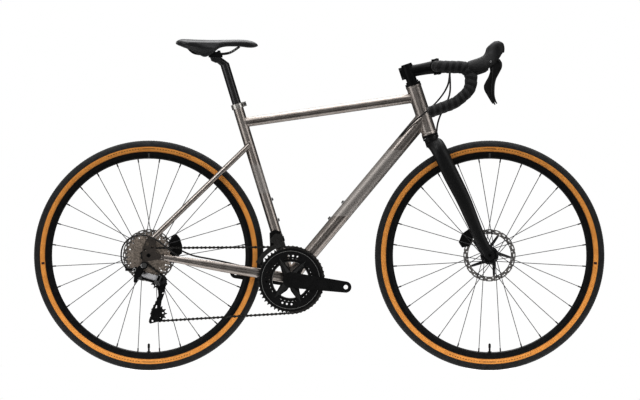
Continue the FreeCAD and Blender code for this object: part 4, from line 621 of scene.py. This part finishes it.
# ------------------------------------------------------------------ stage
FLOOR_HALF = (1.2, 0.5)
FLOOR_GLOW = 0.55
# share of the way from straight down to straight up, and the light that comes from there
SKY = ((0.0, 0.16), (0.465, 0.16), (0.478, 1.0), (0.522, 1.0), (0.535, 0.06), (0.66, 0.10),
       (0.80, 0.45), (0.92, 0.8), (0.96, 3.2), (1.0, 3.2))
# name, place, power in watts, size in metres
LIGHTS = (
    ("key", (-1.6, -2.6, 3.2), 30, 1.2),
    ("fill", (2.2, -2.4, 2.6), 18, 1.6),
    ("back", (0.0, 1.4, 3.0), 36, 2.2),
    ("left_wall", (-3.6, -2.2, 0.9), 50, 3.0),
    ("right_wall", (3.6, -2.0, 0.9), 30, 2.4),
)
LIT_POINT = Vector((0, 0, 0.4))
CAMERA_PLACE = (0.00245, -40.0, 0.5205)
CAMERA_ANGLE = 2.805
DISPLAY_GAMMA = 0.8


def stage():
    """Pale floor, a white band round the horizon, soft light from above and the camera."""
    pale = Finish("studio_floor", (0.55, 0.55, 0.55), 0.9)
    speck = pale.span(pale.noise(3.0), 0.2, 0.8, 0.0, 0.02)
    pale.put("Base Color", pale.mix(speck, (0.55, 0.55, 0.55), (0.53, 0.53, 0.53)))
    pale.put("Emission Color", (1, 1, 1, 1))
    pale.put("Emission Strength", FLOOR_GLOW)
    long, wide = FLOOR_HALF
    verts = [(-long, -wide, 0), (long, -wide, 0), (-long, wide, 0), (long, wide, 0)]
    floor = piece_of("floor", verts, [(0, 1, 3, 2)], pale.material)
    world = bpy.data.worlds.new("studio")
    bpy.context.scene.world = world
    world.use_nodes = True
    tree = world.node_tree
    coords = tree.nodes.new("ShaderNodeTexCoord")
    split = tree.nodes.new("ShaderNodeSeparateXYZ")
    ramp = tree.nodes.new("ShaderNodeValToRGB")
    tree.links.new(coords.outputs["Generated"], split.inputs[0])
    height = tree.nodes.new("ShaderNodeMapRange")
    height.inputs["From Min"].default_value = -1.0
    tree.links.new(split.outputs["Z"], height.inputs["Value"])
    tree.links.new(height.outputs[0], ramp.inputs[0])
    for place, _ in SKY[1:-1]:
        ramp.color_ramp.elements.new(place)
    for element, (_, level) in zip(ramp.color_ramp.elements, SKY):
        element.color = (level, level, level, 1)
    tree.links.new(ramp.outputs[0], tree.nodes["Background"].inputs["Color"])
    for light in LIGHTS:
        add_light(*light)
    camera = bpy.data.cameras.new("camera")
    camera.angle = math.radians(CAMERA_ANGLE)
    camera.clip_end = 100
    holder = bpy.data.objects.new("camera", camera)
    holder.location = CAMERA_PLACE
    holder.rotation_euler = (math.pi / 2, 0, 0)
    bpy.context.scene.collection.objects.link(holder)
    bpy.context.scene.camera = holder
    bpy.context.scene.view_settings.view_transform = "Standard"
    bpy.context.scene.view_settings.gamma = DISPLAY_GAMMA


def add_light(name, place, power, size):
    light = bpy.data.lights.new(name, "AREA")
    light.energy = power
    light.size = size
    holder = bpy.data.objects.new(name, light)
    holder.location = place
    aim = LIT_POINT - holder.location
    holder.rotation_euler = aim.to_track_quat("-Z", "Y").to_euler()
    bpy.context.scene.collection.objects.link(holder)


# ------------------------------------------------------------------ tyres and wheels
def tyre_point(centre, radius, across, turn):
    """Point on a tyre: radius of the section, turn across it from the crown, turn round the wheel."""
    middle_radius = TYRE_RADIUS - TYRE_WIDTH / 2
    out = middle_radius + radius * math.cos(across)
    return centre + Vector((out * math.cos(turn), radius * math.sin(across), out * math.sin(turn)))


def ring_shell(name, centre, outer, inner, finish, steps=360):
    """Closed shell round a wheel: outer and inner are lists of (section radius in mm, degrees across)."""
    loop = outer + inner[::-1]
    rings = []
    for k in range(steps):
        turn = TAU * k / steps
        rings.append([tyre_point(centre, r * MM, math.radians(a), turn) for r, a in loop])
    return outward(piece_of(name, *skin(rings, closed=True), finish))


def knob(verts, faces, centre, across, turn, half_across, half_round, base, top):
    """One tread block, a low frustum with a diamond plan."""
    start = len(verts)
    corners = ((-half_across, 0), (0, -half_round), (half_across, 0), (0, half_round))
    for radius, share in ((base, 1.0), (top, 0.62)):
        for a, t in corners:
            verts.append(tyre_point(centre, radius * MM, across + a * share, turn + t * share))
    for i in range(4):
        k = (i + 1) % 4
        faces.append((start + i, start + k, start + 4 + k, start + 4 + i))
    faces.append((start + 4, start + 5, start + 6, start + 7))
    faces.append((start + 3, start + 2, start + 1, start))


def tyres():
    """Tan side walls, black tread cap and its rows of small blocks."""
    full = TYRE_WIDTH / MM / 2
    rows = 276
    lanes = (-74, -61, -48, -36, -24, -12, 0, 12, 24, 36, 48, 61, 74)
    for where, centre in WHEELS:
        node = where + "_tyre"
        wall = tan_casing(where + "_side_wall", centre)
        black = tread_rubber(where + "_tread_rubber", centre)
        outer = [(full - 0.5, 5.48 * k) for k in range(-25, 26)]
        inner = [(full - 2.6, 5.48 * k) for k in range(-25, 26)]
        casing = ring_shell(where + "_tyre_casing", centre, outer, inner, wall)
        fasten(casing, where + "_wheel", [node])
        cap = [(full - 0.6, -85), (full - 0.05, -84)] + [(full - 0.3, a) for a in range(-81, 82, 6)]
        cap += [(full - 0.05, 84), (full - 0.6, 85)]
        under = [(full - 1.0, a) for a in range(-84, 85, 7)]
        tread = ring_shell(where + "_tyre_tread", centre, cap, under, black)
        fasten(tread, where + "_wheel", [node])
        verts, faces = [], []
        for row in range(rows):
            for lane, across in enumerate(lanes):
                shift = 0.5 if lane % 2 else 0.0
                turn = TAU * (row + shift) / rows
                wide = math.radians(4.6 if abs(across) < 70 else 5.4)
                knob(verts, faces, centre, math.radians(across), turn, wide, TAU / rows * 0.40,
                     full - 0.4, full + 0.25)
        blocks = outward(piece_of(where + "_tyre_blocks", verts, faces, black, smooth=False))
        fasten(blocks, where + "_wheel", [node])


def valves():
    """Presta valve at the foot of each wheel: lock ring, threaded stem and cap."""
    black = satin_black("valve_black")
    for where, centre in WHEELS:
        foot = centre - Z * (RIM_INNER + 1 * MM)
        stem = [(0, 0), (3.0, 0)]
        for k in range(9):
            stem += [(3.0, 0.4 + k * 1.6), (2.6, 1.2 + k * 1.6)]
        stem += [(2.6, 15), (0, 15)]
        parts = [
            lathe("stem", stem, foot, Z, black, 20),
            lathe("ring", [(0, 0.8), (5.6, 0.8), (6.0, 1.3), (6.0, 2.7), (5.6, 3.2), (0, 3.2)],
                  foot, Z, black, 24),
            lathe("cap", [(0, 14), (3.4, 14), (3.7, 14.6), (3.5, 24), (2.4, 26.5), (1.0, 27.4), (0, 27.4)],
                  foot, Z, black, 20),
        ]
        fasten(joined(where + "_valve", parts), where + "_wheel")


# ------------------------------------------------------------------ saddle
# x, top z, lower edge z, half width above, half width at the lower edge
SADDLE = [
    (-439.6, 1003.5, 997.5, 20, 17),
    (-434.0, 1008.5, 994.8, 45, 40),
    (-422.0, 1011.8, 990.6, 61, 54),
    (-404.0, 1011.4, 981.6, 70, 60),
    (-384.0, 1010.4, 972.2, 70, 55),
    (-368.0, 1009.8, 964.2, 66, 49),
    (-353.0, 1009.4, 957.8, 60, 43),
    (-338.0, 1009.0, 961.6, 53, 40),
    (-324.0, 1009.0, 969.8, 46, 37),
    (-314.0, 1009.0, 979.8, 41, 35),
    (-303.0, 1009.2, 986.8, 37, 32),
    (-286.0, 1009.4, 990.6, 32, 28),
    (-262.0, 1009.8, 991.0, 28, 24),
    (-240.0, 1009.8, 990.4, 25, 21),
    (-220.0, 1008.6, 987.4, 22.5, 18),
    (-206.0, 1006.2, 985.8, 20, 15.5),
    (-195.0, 1001.6, 987.2, 15.5, 12),
    (-188.5, 996.4, 989.6, 9, 6.5),
    (-186.0, 993.0, 991.0, 3.5, 3),
]
PAD_UNDER = 987.0
PAN_REAR, PAN_FRONT = -408.0, -222.0
RAIL_ROUTE = [(-244, -14, 990), (-256, -17, 981), (-272, -20, 971), (-292, -22, 967.2), (-322, -22, 967.2),
              (-352, -22, 967.2), (-374, -23, 967.5), (-392, -25, 974), (-402, -27, 987)]
RAIL_RADIUS = 3.5 * MM
SKIRT_THICK = 5.0


def saddle_section(x, top, low, half, half_low):
    """One slice of the saddle: crowned top, rounded shoulder, side wall, then the hollow underside."""
    roll = max(min(14.0, (top - low) * 0.55), 1.0)
    ring = []
    for k in range(17):
        turn = math.pi / 2 * k / 16
        y = half * math.sin(turn) ** 0.92
        z = top - roll * (1 - math.cos(turn) ** 0.62)
        ring.append((y, z))
    for share in (0.25, 0.5, 0.75, 0.94):
        ease = share * share * (3 - 2 * share)
        ring.append((half + (half_low - half) * ease, top - roll + (low - top + roll) * share))
    ring.append((max(half_low - SKIRT_THICK * 0.35, 0.5), low))
    under = max(low + 1.0, min(PAD_UNDER, top - 5.0))
    ring.append((max(half_low - SKIRT_THICK, 0.4), low + 1.0))
    ring.append((max(min(half_low, half) - SKIRT_THICK, 0.3), under))
    ring.append((0.0, under))
    left = [(x, y, z) for y, z in ring]
    right = [(x, -y, z) for y, z in ring[-2:0:-1]]
    return [mm(*p) for p in left + right]


def smooth_stations(stations):
    """Catmull-Rom stations: the listed ones and three between each pair."""
    steps = 4
    filled = []
    for i in range(len(stations) - 1):
        p0 = stations[max(i - 1, 0)]
        p1, p2 = stations[i], stations[i + 1]
        p3 = stations[min(i + 2, len(stations) - 1)]
        for k in range(steps):
            t = k / steps
            filled.append(tuple(
                0.5 * (2 * b + (c - a) * t + (2 * a - 5 * b + 4 * c - d) * t * t
                       + (3 * b - a - 3 * c + d) * t ** 3)
                for a, b, c, d in zip(p0, p1, p2, p3)))
    filled.append(stations[-1])
    return filled


def remeshed(piece, size):
    """Even voxel skin over a closed mesh."""
    remesh = piece.modifiers.new("even", "REMESH")
    remesh.mode = "VOXEL"
    remesh.voxel_size = size
    remesh.use_smooth_shade = True
    return applied(piece)


def applied(piece):
    """The piece with its modifiers made real."""
    graph = bpy.context.evaluated_depsgraph_get()
    data = bpy.data.meshes.new_from_object(piece.evaluated_get(graph))
    piece.modifiers.clear()
    old = piece.data
    piece.data = data
    bpy.data.meshes.remove(old)
    data.name = piece.name
    return piece


def puffed(piece, pressure, cap):
    """Cloth under pressure: the cover swells and settles, no point moving further than cap."""
    start = [v.co.copy() for v in piece.data.vertices]
    cloth = piece.modifiers.new("cloth", "CLOTH")
    settings = cloth.settings
    settings.quality = 6
    settings.mass = 0.3
    settings.tension_stiffness = 40
    settings.compression_stiffness = 40
    settings.shear_stiffness = 20
    settings.bending_stiffness = 6
    settings.use_pressure = True
    settings.uniform_pressure_force = pressure
    settings.effector_weights.gravity = 0
    scene = bpy.context.scene
    for step in range(1, 21):
        scene.frame_set(step)
    applied(piece)
    scene.frame_set(1)
    for vertex, was in zip(piece.data.vertices, start):
        move = vertex.co - was
        if move.length > cap:
            vertex.co = was + move * (cap / move.length)


def saddle():
    """Padded cover with skirts, swollen by a cloth simulation, the pan under it and the rails."""
    cover = leather("saddle_leather")
    rings = [saddle_section(*s) for s in smooth_stations(SADDLE)]
    pad = outward(piece_of("saddle_pad", *skin(rings), cover))
    remeshed(pad, 2.6 * MM)
    pad.data.materials.clear()
    pad.data.materials.append(cover)
    puffed(pad, 4.0, 1.2 * MM)
    relax = pad.modifiers.new("relax", "CORRECTIVE_SMOOTH")
    relax.iterations = 3
    relax.use_only_smooth = True
    finer = pad.modifiers.new("finer", "SUBSURF")
    finer.levels = 1
    finer.render_levels = 1
    applied(pad)
    pad.data.shade_smooth()
    fasten(pad, "seat", ["saddle_cover", "saddle_shell"])
    rings = []
    for x, _, low, _, half_low in smooth_stations(SADDLE):
        if PAN_REAR <= x <= PAN_FRONT:
            z, half = max(low + 1.0, PAD_UNDER), max(half_low - SKIRT_THICK - 1.0, 3.0)
            low_z, top_z = z - 1.4, z + 1
            rings.append([mm(x, -half, low_z), mm(x, half, low_z), mm(x, half, top_z), mm(x, -half, top_z)])
    shell = plastic("pan_plastic")
    pan = crisp(outward(piece_of("saddle_pan", *skin(rings), shell)))
    fasten(pan, "seat", ["saddle_shell"])
    rail_skin = rail_finish("rail_black")
    for side, word in SIDES:
        rail = cable_piece("saddle_rail_" + word, points_of(RAIL_ROUTE, side), RAIL_RADIUS, rail_skin)
        fasten(rail, "seat", ["saddle_rails"])


# ------------------------------------------------------------------ bar, tape, hoods and levers
BAR_ROUTE = [(359, 0, 928.5), (359, -196, 928.5), (467, -205, 926), (463, -208, 858), (418, -211, 818),
             (336, -214, 788)]
BAR_BENDS = [30.0, 34.0, 50.0, 100.0]
TAPE_START = 75.0
TAPE_PITCH = 19.0
TAPE_RADIUS = 16.3


def bent_bar(step=1.0):
    """Centre line of the right-hand half of the bar, as it is bent: straights and round bends."""
    corners = [Vector(p) for p in BAR_ROUTE]
    corners[0].y = -TAPE_START
    line = []
    here = corners[0]
    for i, radius in enumerate(BAR_BENDS, start=1):
        back = (corners[i - 1] - corners[i]).normalized()
        on = (corners[i + 1] - corners[i]).normalized()
        half = back.angle(on) / 2
        reach = radius / math.tan(half)
        start, end = corners[i] + back * reach, corners[i] + on * reach
        line += straight(here, start, step)
        hub = corners[i] + (back + on).normalized() * (radius / math.sin(half))
        turn = math.pi - 2 * half
        count = max(int(radius * turn / step), 2)
        axis = (start - hub).cross(end - hub)
        for k in range(count):
            line.append(hub + Matrix.Rotation(turn * k / count, 3, axis) @ (start - hub))
        here = end
    line += straight(here, corners[-1], step) + [corners[-1]]
    return [p * MM for p in line]


def straight(a, b, step):
    count = max(int((b - a).length / step), 1)
    return [a.lerp(b, k / count) for k in range(count)]


def carried_frames(line):
    """A side and an up vector at each point of a line, carried along it without twist."""
    side, up = None, None
    frames = []
    for i, point in enumerate(line):
        ahead = (line[min(i + 1, len(line) - 1)] - line[max(i - 1, 0)]).normalized()
        if side is None:
            side, up = basis(ahead)
        side = (side - ahead * side.dot(ahead)).normalized()
        up = ahead.cross(side)
        frames.append((point, side, up))
    return frames


def mirror(piece, name):
    """The same mesh on the other side of the bicycle."""
    twin = piece.copy()
    twin.data = piece.data.copy()
    twin.name = name
    twin.data.name = name
    twin.data.transform(Matrix.Scale(-1, 4, Y))
    twin.data.flip_normals()
    bpy.context.scene.collection.objects.link(twin)
    return twin


def bar_tape():
    """Tape wound in a helix: each turn laps the one before by a small step."""
    finish = bar_wrap("bar_wrap")
    frames = carried_frames(bent_bar(1.2))
    run = 0.0
    rings = []
    phases = []
    last = frames[0][0]
    count = 40
    for point, side, up in frames:
        run += (point - last).length / MM
        last = point
        ring = []
        for k in range(count):
            turn = TAU * k / count
            phase = (run / TAPE_PITCH + k / count) % 1.0
            phases.append(phase)
            rise = min(phase / 0.10, 1.0)
            lap = 1.5 * rise - 1.35 * phase
            radius = (TAPE_RADIUS - 0.25 + lap) * MM
            ring.append(point + (side * math.cos(turn) + up * math.sin(turn)) * radius)
        rings.append(ring)
    right = outward(piece_of("bar_tape_right", *skin(rings), finish))
    # the lap phase of each point, read by the tape finish for its painted crest highlight and painted seam
    # shade
    lap_layer = right.data.attributes.new("lap", "FLOAT", "POINT")
    for slot, phase in zip(lap_layer.data, phases):
        slot.value = phase
    left = mirror(right, "bar_tape_left")
    tip = mm(*BAR_ROUTE[-1])
    run = (tip - mm(*BAR_ROUTE[-2])).normalized()
    plug_finish = plastic("plug_plastic", (0.018, 0.018, 0.0185), 0.35)
    plug_profile = [(0, -1), (15.2, -1), (15.8, 0.6), (15.6, 2.4), (13.8, 3.6), (9, 4), (8.4, 3.5),
                    (0, 3.2)]
    plug = lathe("bar_plug_right", plug_profile, tip, run, plug_finish, 48)
    for piece in (right, left):
        fasten(piece, "cockpit", ["bar_tape"])
    for piece in (plug, mirror(plug, "bar_plug_left")):
        fasten(piece, "cockpit", ["bar_tape"])
    collar = lathe("tape_collar_right", [(0, -1), (16.3, -1), (16.6, 0), (16.6, 14), (16.3, 15), (0, 15)],
                   mm(BAR_ROUTE[0][0], -TAPE_START + 7, BAR_ROUTE[0][2]), -Y, plug_finish, 48)
    for piece in (collar, mirror(collar, "tape_collar_left")):
        fasten(piece, "cockpit")


def hoods():
    """Rubber hoods: the CAD form with every edge rounded over, as moulded rubber is."""
    finish = hood_rubber("hood_rubber")
    hood = bpy.data.objects.new("lever_hood_pair", nodes["lever_hoods"].data.copy())
    bpy.context.scene.collection.objects.link(hood)
    remeshed(hood, 1.3 * MM)
    soften = hood.modifiers.new("soften", "SMOOTH")
    soften.factor = 0.5
    soften.iterations = 6
    applied(hood)
    hood.data.materials.clear()
    hood.data.materials.append(finish)
    hood.data.shade_smooth()
    fasten(hood, "cockpit", ["lever_hoods"])
    silver = steel("screw_steel", (0.45, 0.45, 0.45), 0.3)
    head = [(0, -1), (3.2, -1), (3.2, 0.6), (2.7, 1.0), (1.6, 1.0), (1.4, 0.2), (0, 0.2)]
    for side, word in SIDES:
        dot = lathe("hood_screw_" + word, head, mm(522.3, side * 224.2, 941.2), Y * side, silver, 24)
        fasten(dot, "cockpit")


# fore edge x, rear edge x, z, half width: the lever blade from its pivot down to its tip
BLADE = [
    (549.5, 525, 949.5, 6),
    (556.5, 523.5, 937.5, 7),
    (556, 525, 923, 7),
    (547.5, 526, 906, 7.2),
    (539, 524.5, 889.5, 7.4),
    (535, 523, 871.5, 7.4),
    (534, 522, 853, 7.2),
    (534.5, 524, 837.5, 6.8),
    (537.5, 529.5, 825.5, 6),
    (541.5, 536.5, 816.5, 4.6),
    (542, 539.5, 813.5, 2.6),
]
PADDLE = [
    (540.5, 526.5, 936.5, 1.5),
    (539.5, 526, 918, 1.5),
    (532, 520, 899, 1.5),
    (528, 511, 882.5, 1.5),
    (527.5, 506.5, 871.5, 1.5),
    (528, 508, 858, 1.5),
    (529.5, 516, 843.5, 1.5),
    (532, 526, 826.5, 1.4),
    (535, 533, 816.5, 1.2),
]
BLADE_Y, PADDLE_Y = -208.5, -199.4


def blade_mesh(name, stations, y, finish):
    """A thin lever: a flattened oval slice at each station."""
    rings = []
    count = 28
    for fore, rear, z, half in smooth_stations(stations):
        ring = []
        for k in range(count):
            turn = TAU * k / count
            c, s = math.cos(turn), math.sin(turn)
            x = (fore + rear) / 2 + (fore - rear) / 2 * math.copysign(abs(c) ** 0.75, c)
            ring.append(mm(x, y + half * math.copysign(abs(s) ** 0.6, s), z))
        rings.append(ring)
    return outward(piece_of(name, *skin(rings), finish))


def levers():
    """Brake levers with rounded blades, shift paddles behind them and their pivot pins."""
    blade_finish = satin_black("lever_black", (0.004, 0.004, 0.0042), 0.30, 0.2)
    paddle_finish = plastic("paddle_plastic", (0.004, 0.004, 0.0042), 0.36)
    pin_finish = steel("pin_steel", (0.40, 0.40, 0.40), 0.3)
    blade = blade_mesh("brake_blade_right", BLADE, BLADE_Y, blade_finish)
    paddle = blade_mesh("shift_blade_right", PADDLE, PADDLE_Y, paddle_finish)
    pin_profile = [(0, -13.4), (2.6, -13.4), (3.0, -13.0), (3.0, 13.0), (2.6, 13.4), (0, 13.4)]
    pin = lathe("lever_pin_right", pin_profile, mm(529, -205.5, 940.5), Y, pin_finish, 24)
    twins = [mirror(blade, "brake_blade_left"), mirror(paddle, "shift_blade_left"),
             mirror(pin, "lever_pin_left")]
    for word, (a, b, c) in (("right", (blade, paddle, pin)), ("left", twins)):
        fasten(a, "lever_" + word, ["brake_lever_" + word])
        fasten(b, "paddle_" + word, ["shift_paddle_" + word])
        fasten(c, "cockpit")


# ------------------------------------------------------------------ cables and hoses
GEAR_LOOP = [(-436, -75, 352), (-458, -79, 369), (-484, -83, 390), (-514, -86, 409), (-549, -88, 416),
             (-580, -88, 405), (-601, -88, 381), (-606, -87, 351), (-601, -86, 325), (-586, -85, 308.9)]
REAR_HOSE = [(-424, 70, 366), (-404, 72, 356), (-378, 69, 347.5), (-340, 62, 341), (-300, 55, 333),
             (-270, 51, 326), (-230, 49.5, 316)]
FRONT_HOSE = [(398, -120, 912), (401, -96, 872), (399, -70, 842), (387, -36, 810), (371, -6, 782),
              (362, 14, 754), (359, 22, 726), (357, 24, 694)]
DOWN_CABLE = [(400, 90, 914), (399, 80, 886), (388, 66, 858), (370, 50, 832), (346, 38, 806),
              (318, 31, 783), (292, 27, 762), (268, 22, 740), (245, 11, 710)]
CABLE_RADIUS = 2.2 * MM
HOSE_RADIUS = 2.5 * MM


def points_of(route, side=1):
    return [mm(x, y * side, z) for x, y, z in route]


def ferrule(name, place, heading, radius, finish):
    """Stepped end cap where a housing enters a stop or a port."""
    r = radius / MM
    profile = [(0, -2), (r + 0.5, -2), (r + 0.9, -1.4), (r + 0.9, 6), (r + 0.5, 6.6), (r + 0.5, 9),
               (r + 0.2, 9.4), (0, 9.4)]
    return lathe(name, profile, place, heading, finish, 24)


def end_cap(name, route, radius, finish, body):
    """A ferrule on the first point of a route, pointing along it."""
    start = mm(*route[0])
    run = (mm(*route[1]) - start).normalized()
    fasten(ferrule(name, start, run, radius, finish), body)


def cables():
    """Gear housings and brake hoses with their end caps and ports."""
    jacket = rubber("housing_jacket", (0.010, 0.010, 0.0105), 1600.0, 0.42)
    cap = satin_black("ferrule_black", (0.02, 0.02, 0.02), 0.3)
    loop = cable_piece("gear_loop", points_of(GEAR_LOOP), CABLE_RADIUS, jacket)
    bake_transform(loop)
    fasten(loop, None, ["rear_cables"])
    rear = cable_piece("rear_brake_hose", points_of(REAR_HOSE), HOSE_RADIUS, jacket)
    fasten(rear, "frame", ["rear_cables"])
    front = cable_piece("front_brake_hose", points_of(FRONT_HOSE), HOSE_RADIUS, jacket)
    fasten(front, "cockpit", ["front_cables"])
    for side, word in SIDES[::-1]:
        line = cable_piece("down_tube_cable_" + word, points_of(DOWN_CABLE, side), CABLE_RADIUS, jacket)
        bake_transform(line)
        fasten(line, None, ["front_cables"])
        before, end = points_of(DOWN_CABLE[-2:], side)
        back = (before - end).normalized()
        port = ferrule("down_tube_port_" + word, end + back * 12 * MM, back, CABLE_RADIUS, cap)
        fasten(port, "frame")
    end_cap("gear_loop_port", GEAR_LOOP, CABLE_RADIUS, cap, "frame")
    end_cap("gear_loop_end", GEAR_LOOP[::-1], CABLE_RADIUS, cap, "rd_knuckle")
    end_cap("rear_hose_port", REAR_HOSE[::-1], HOSE_RADIUS, cap, "frame")


# ------------------------------------------------------------------ welds
def weld_bead(name, start, run, radius, other_start, other_run, other_radius, finish, size=1.5):
    """Stacked-ripple weld where one round tube meets another, along their true crossing line."""
    run = run.normalized()
    other_run = other_run.normalized()
    first, second = basis(run)
    flat_run = run - other_run * run.dot(other_run)
    a = flat_run.length_squared
    line = []
    count = 160
    for k in range(count):
        turn = TAU * k / count
        base = start + (first * math.cos(turn) + second * math.sin(turn)) * radius
        gap = base - other_start
        flat_gap = gap - other_run * gap.dot(other_run)
        b = 2 * flat_run.dot(flat_gap)
        c = flat_gap.length_squared - other_radius ** 2
        under = max(b * b - 4 * a * c, 0.0)
        reach = (-b - math.sqrt(under)) / (2 * a)
        line.append(base + run * reach)
    rings = []
    for k, point in enumerate(line):
        ahead = (line[(k + 1) % count] - line[k - 1]).normalized()
        side, up = basis(ahead)
        ripple = 1.0 + 0.16 * math.cos(TAU * k / 4)
        ring = []
        for j in range(8):
            turn = TAU * j / 8
            ring.append(point + (side * math.cos(turn) + up * math.sin(turn)) * (size * MM * ripple))
        rings.append(aligned(ring, rings[-1] if rings else None))
    return outward(piece_of(name, *skin(rings, closed=True), finish))


def aligned(ring, before):
    """A ring started at the point nearest to where the ring before it started."""
    if before is None:
        return ring
    best = min(range(len(ring)), key=lambda k: (ring[k] - before[0]).length)
    turned = ring[best:] + ring[:best]
    flipped = [turned[0]] + turned[:0:-1]
    if (flipped[1] - before[1]).length < (turned[1] - before[1]).length:
        return flipped
    return turned


def derailleur_bolts():
    """Silver rings with dark sockets: the pivot and cable bolts of the rear derailleur."""
    silver = steel("derailleur_silver", (0.50, 0.50, 0.50), 0.3, Y)
    dark = satin_black("bolt_socket_black")
    for word, x, z, radius in (("pivot", -539, 319.5, 6.6), ("cable", -564.5, 307.7, 5.4)):
        half = radius * 0.5
        collar = [(0, -1), (radius, 0), (radius, 1.2), (radius * 0.85, 1.9), (half, 1.9), (half, 0.8),
                  (0, 0.8)]
        ring = lathe("derailleur_ring_" + word, collar, mm(x, -90.4, z), -Y, silver, 28)
        fasten(ring, "rd_knuckle")
        hole = [(0, 0.5), (radius * 0.52, 0.5), (radius * 0.52, 1.3), (0, 1.3)]
        socket = lathe("derailleur_socket_" + word, hole, mm(x, -90.4, z), -Y, dark, 20)
        fasten(socket, "rd_knuckle")


def welds():
    """The beads in view, each from the tube that ends there to the tube that it meets."""
    finish = titanium("weld_titanium", Z)
    top_rear, top_front = mm(-234.3, 0, 756.9), mm(300.3, 0, 834.2)
    down_low, down_high = mm(-95.0, 0, 276.0), mm(320.6, 0, 773.4)
    head = (HEAD_LOW, HEAD_UP, 23.0 * MM)
    seat = (CRANK_AXLE, SEAT_UP, 15.9 * MM)
    shell = (CRANK_AXLE, Y, 20.0 * MM)
    jobs = [
        ("top_tube_head", top_rear, top_front - top_rear, 14.5, head),
        ("top_tube_seat", top_front, top_rear - top_front, 14.5, seat),
        ("down_tube_head", down_low, down_high - down_low, 22.25, head),
        ("seat_tube_shell", CRANK_AXLE + SEAT_UP * 0.3, -SEAT_UP, 15.9, shell),
    ]
    for side, word in SIDES:
        top, bend = mm(-214, side * 13.5, 689), mm(-268, side * 30, 636.8)
        jobs.append(("seatstay_" + word, bend, top - bend, 8.0, seat))
    for name, start, run, radius, other in jobs:
        bead = weld_bead("weld_" + name, start, run, radius * MM, *other, finish)
        fasten(bead, "frame")


# ------------------------------------------------------------------ finishes on the CAD nodes
def dress_nodes():
    """A finish for every CAD node that stays in view."""
    tubes = {
        "head_tube": (HEAD_UP, None),
        "top_tube": (mm(534.6, 0, 77.3), None),
        "down_tube": (mm(415.6, 0, 497.4), (471, 673)),
        "seat_tube": (SEAT_UP, (541, 629)),
        "bottom_bracket_shell": (Y, None),
        "chainstays": (mm(400, 0, -67), None),
        "seatstays": (mm(240, 0, 233), None),
    }
    for node, (direction, panel) in tubes.items():
        assign(node, titanium(node + "_titanium", direction, panel))
    assign("dropouts", steel("dropout_titanium", (0.17, 0.15, 0.135), 0.34, Z))
    assign("seat_clamp", steel("clamp_silver", (0.66, 0.64, 0.61), 0.24, Y))
    assign("frame_bolts", steel("bolt_steel", (0.20, 0.20, 0.20), 0.3, Y))
    black = satin_black("anodised_black")
    # painted highlight: the outer link is coloured a lighter grey metal than the black links beside it, so
    # its upper face shows a bright bar
    assign("rd_outer_link", steel("link_grey_painted_highlight", (0.20, 0.20, 0.205), 0.28, X))
    for node in ("bearing_cups", "front_derailleur_body", "rear_brake_caliper", "rear_thru_axle",
                 "headset_spacers", "stem", "stem_faceplate", "handlebar", "front_brake_caliper",
                 "front_thru_axle", "front_hub", "rear_hub", "rail_clamp", "rd_knuckle",
                 "rd_inner_link", "rd_cage"):
        assign(node, black)
    assign("seatpost", steel("seatpost_grey", (0.085, 0.085, 0.087), 0.26, SEAT_UP))
    forged = forged_black("forged_black")
    for node in ("crank_arm_right", "crank_arm_left"):
        assign(node, forged)
    assign("fork", carbon("fork_carbon"))
    assign("stem_bolts", steel("dark_bolt_steel", (0.10, 0.10, 0.10), 0.3, Y))
    assign("chainring_bolts", steel("ring_bolt_steel", (0.12, 0.12, 0.12), 0.3, Y))
    assign("outer_chainring", ring_finish("outer_ring_finish", CRANK_AXLE, 0.0885))
    assign("inner_chainring", ring_finish("inner_ring_finish", CRANK_AXLE, 0.0560))
    assign("chain", chain_finish("chain_plated"))
    assign("cassette", turned_steel("cassette_nickel", REAR_AXLE, (0.62, 0.54, 0.47), 0.3, 0.4))
    assign("front_derailleur_cage", steel("cage_steel", (0.10, 0.098, 0.095), 0.3, X))
    assign("rd_p_knuckle", plastic("knuckle_plastic"))
    for node in ("rd_guide_pulley", "rd_tension_pulley"):
        assign(node, plastic(node + "_plastic", (0.016, 0.016, 0.0165), 0.38))
    for where, centre in WHEELS:
        assign(where + "_rim", rim_finish(where + "_rim_black", centre))
        assign(where + "_spokes", spoke_finish(where + "_spoke_steel", centre))
        assign(where + "_rotor", rotor_finish(where + "_rotor_steel", centre))


stage()
dress_nodes()
tyres()
valves()
saddle()
bar_tape()
hoods()
levers()
cables()
derailleur_bolts()
welds()
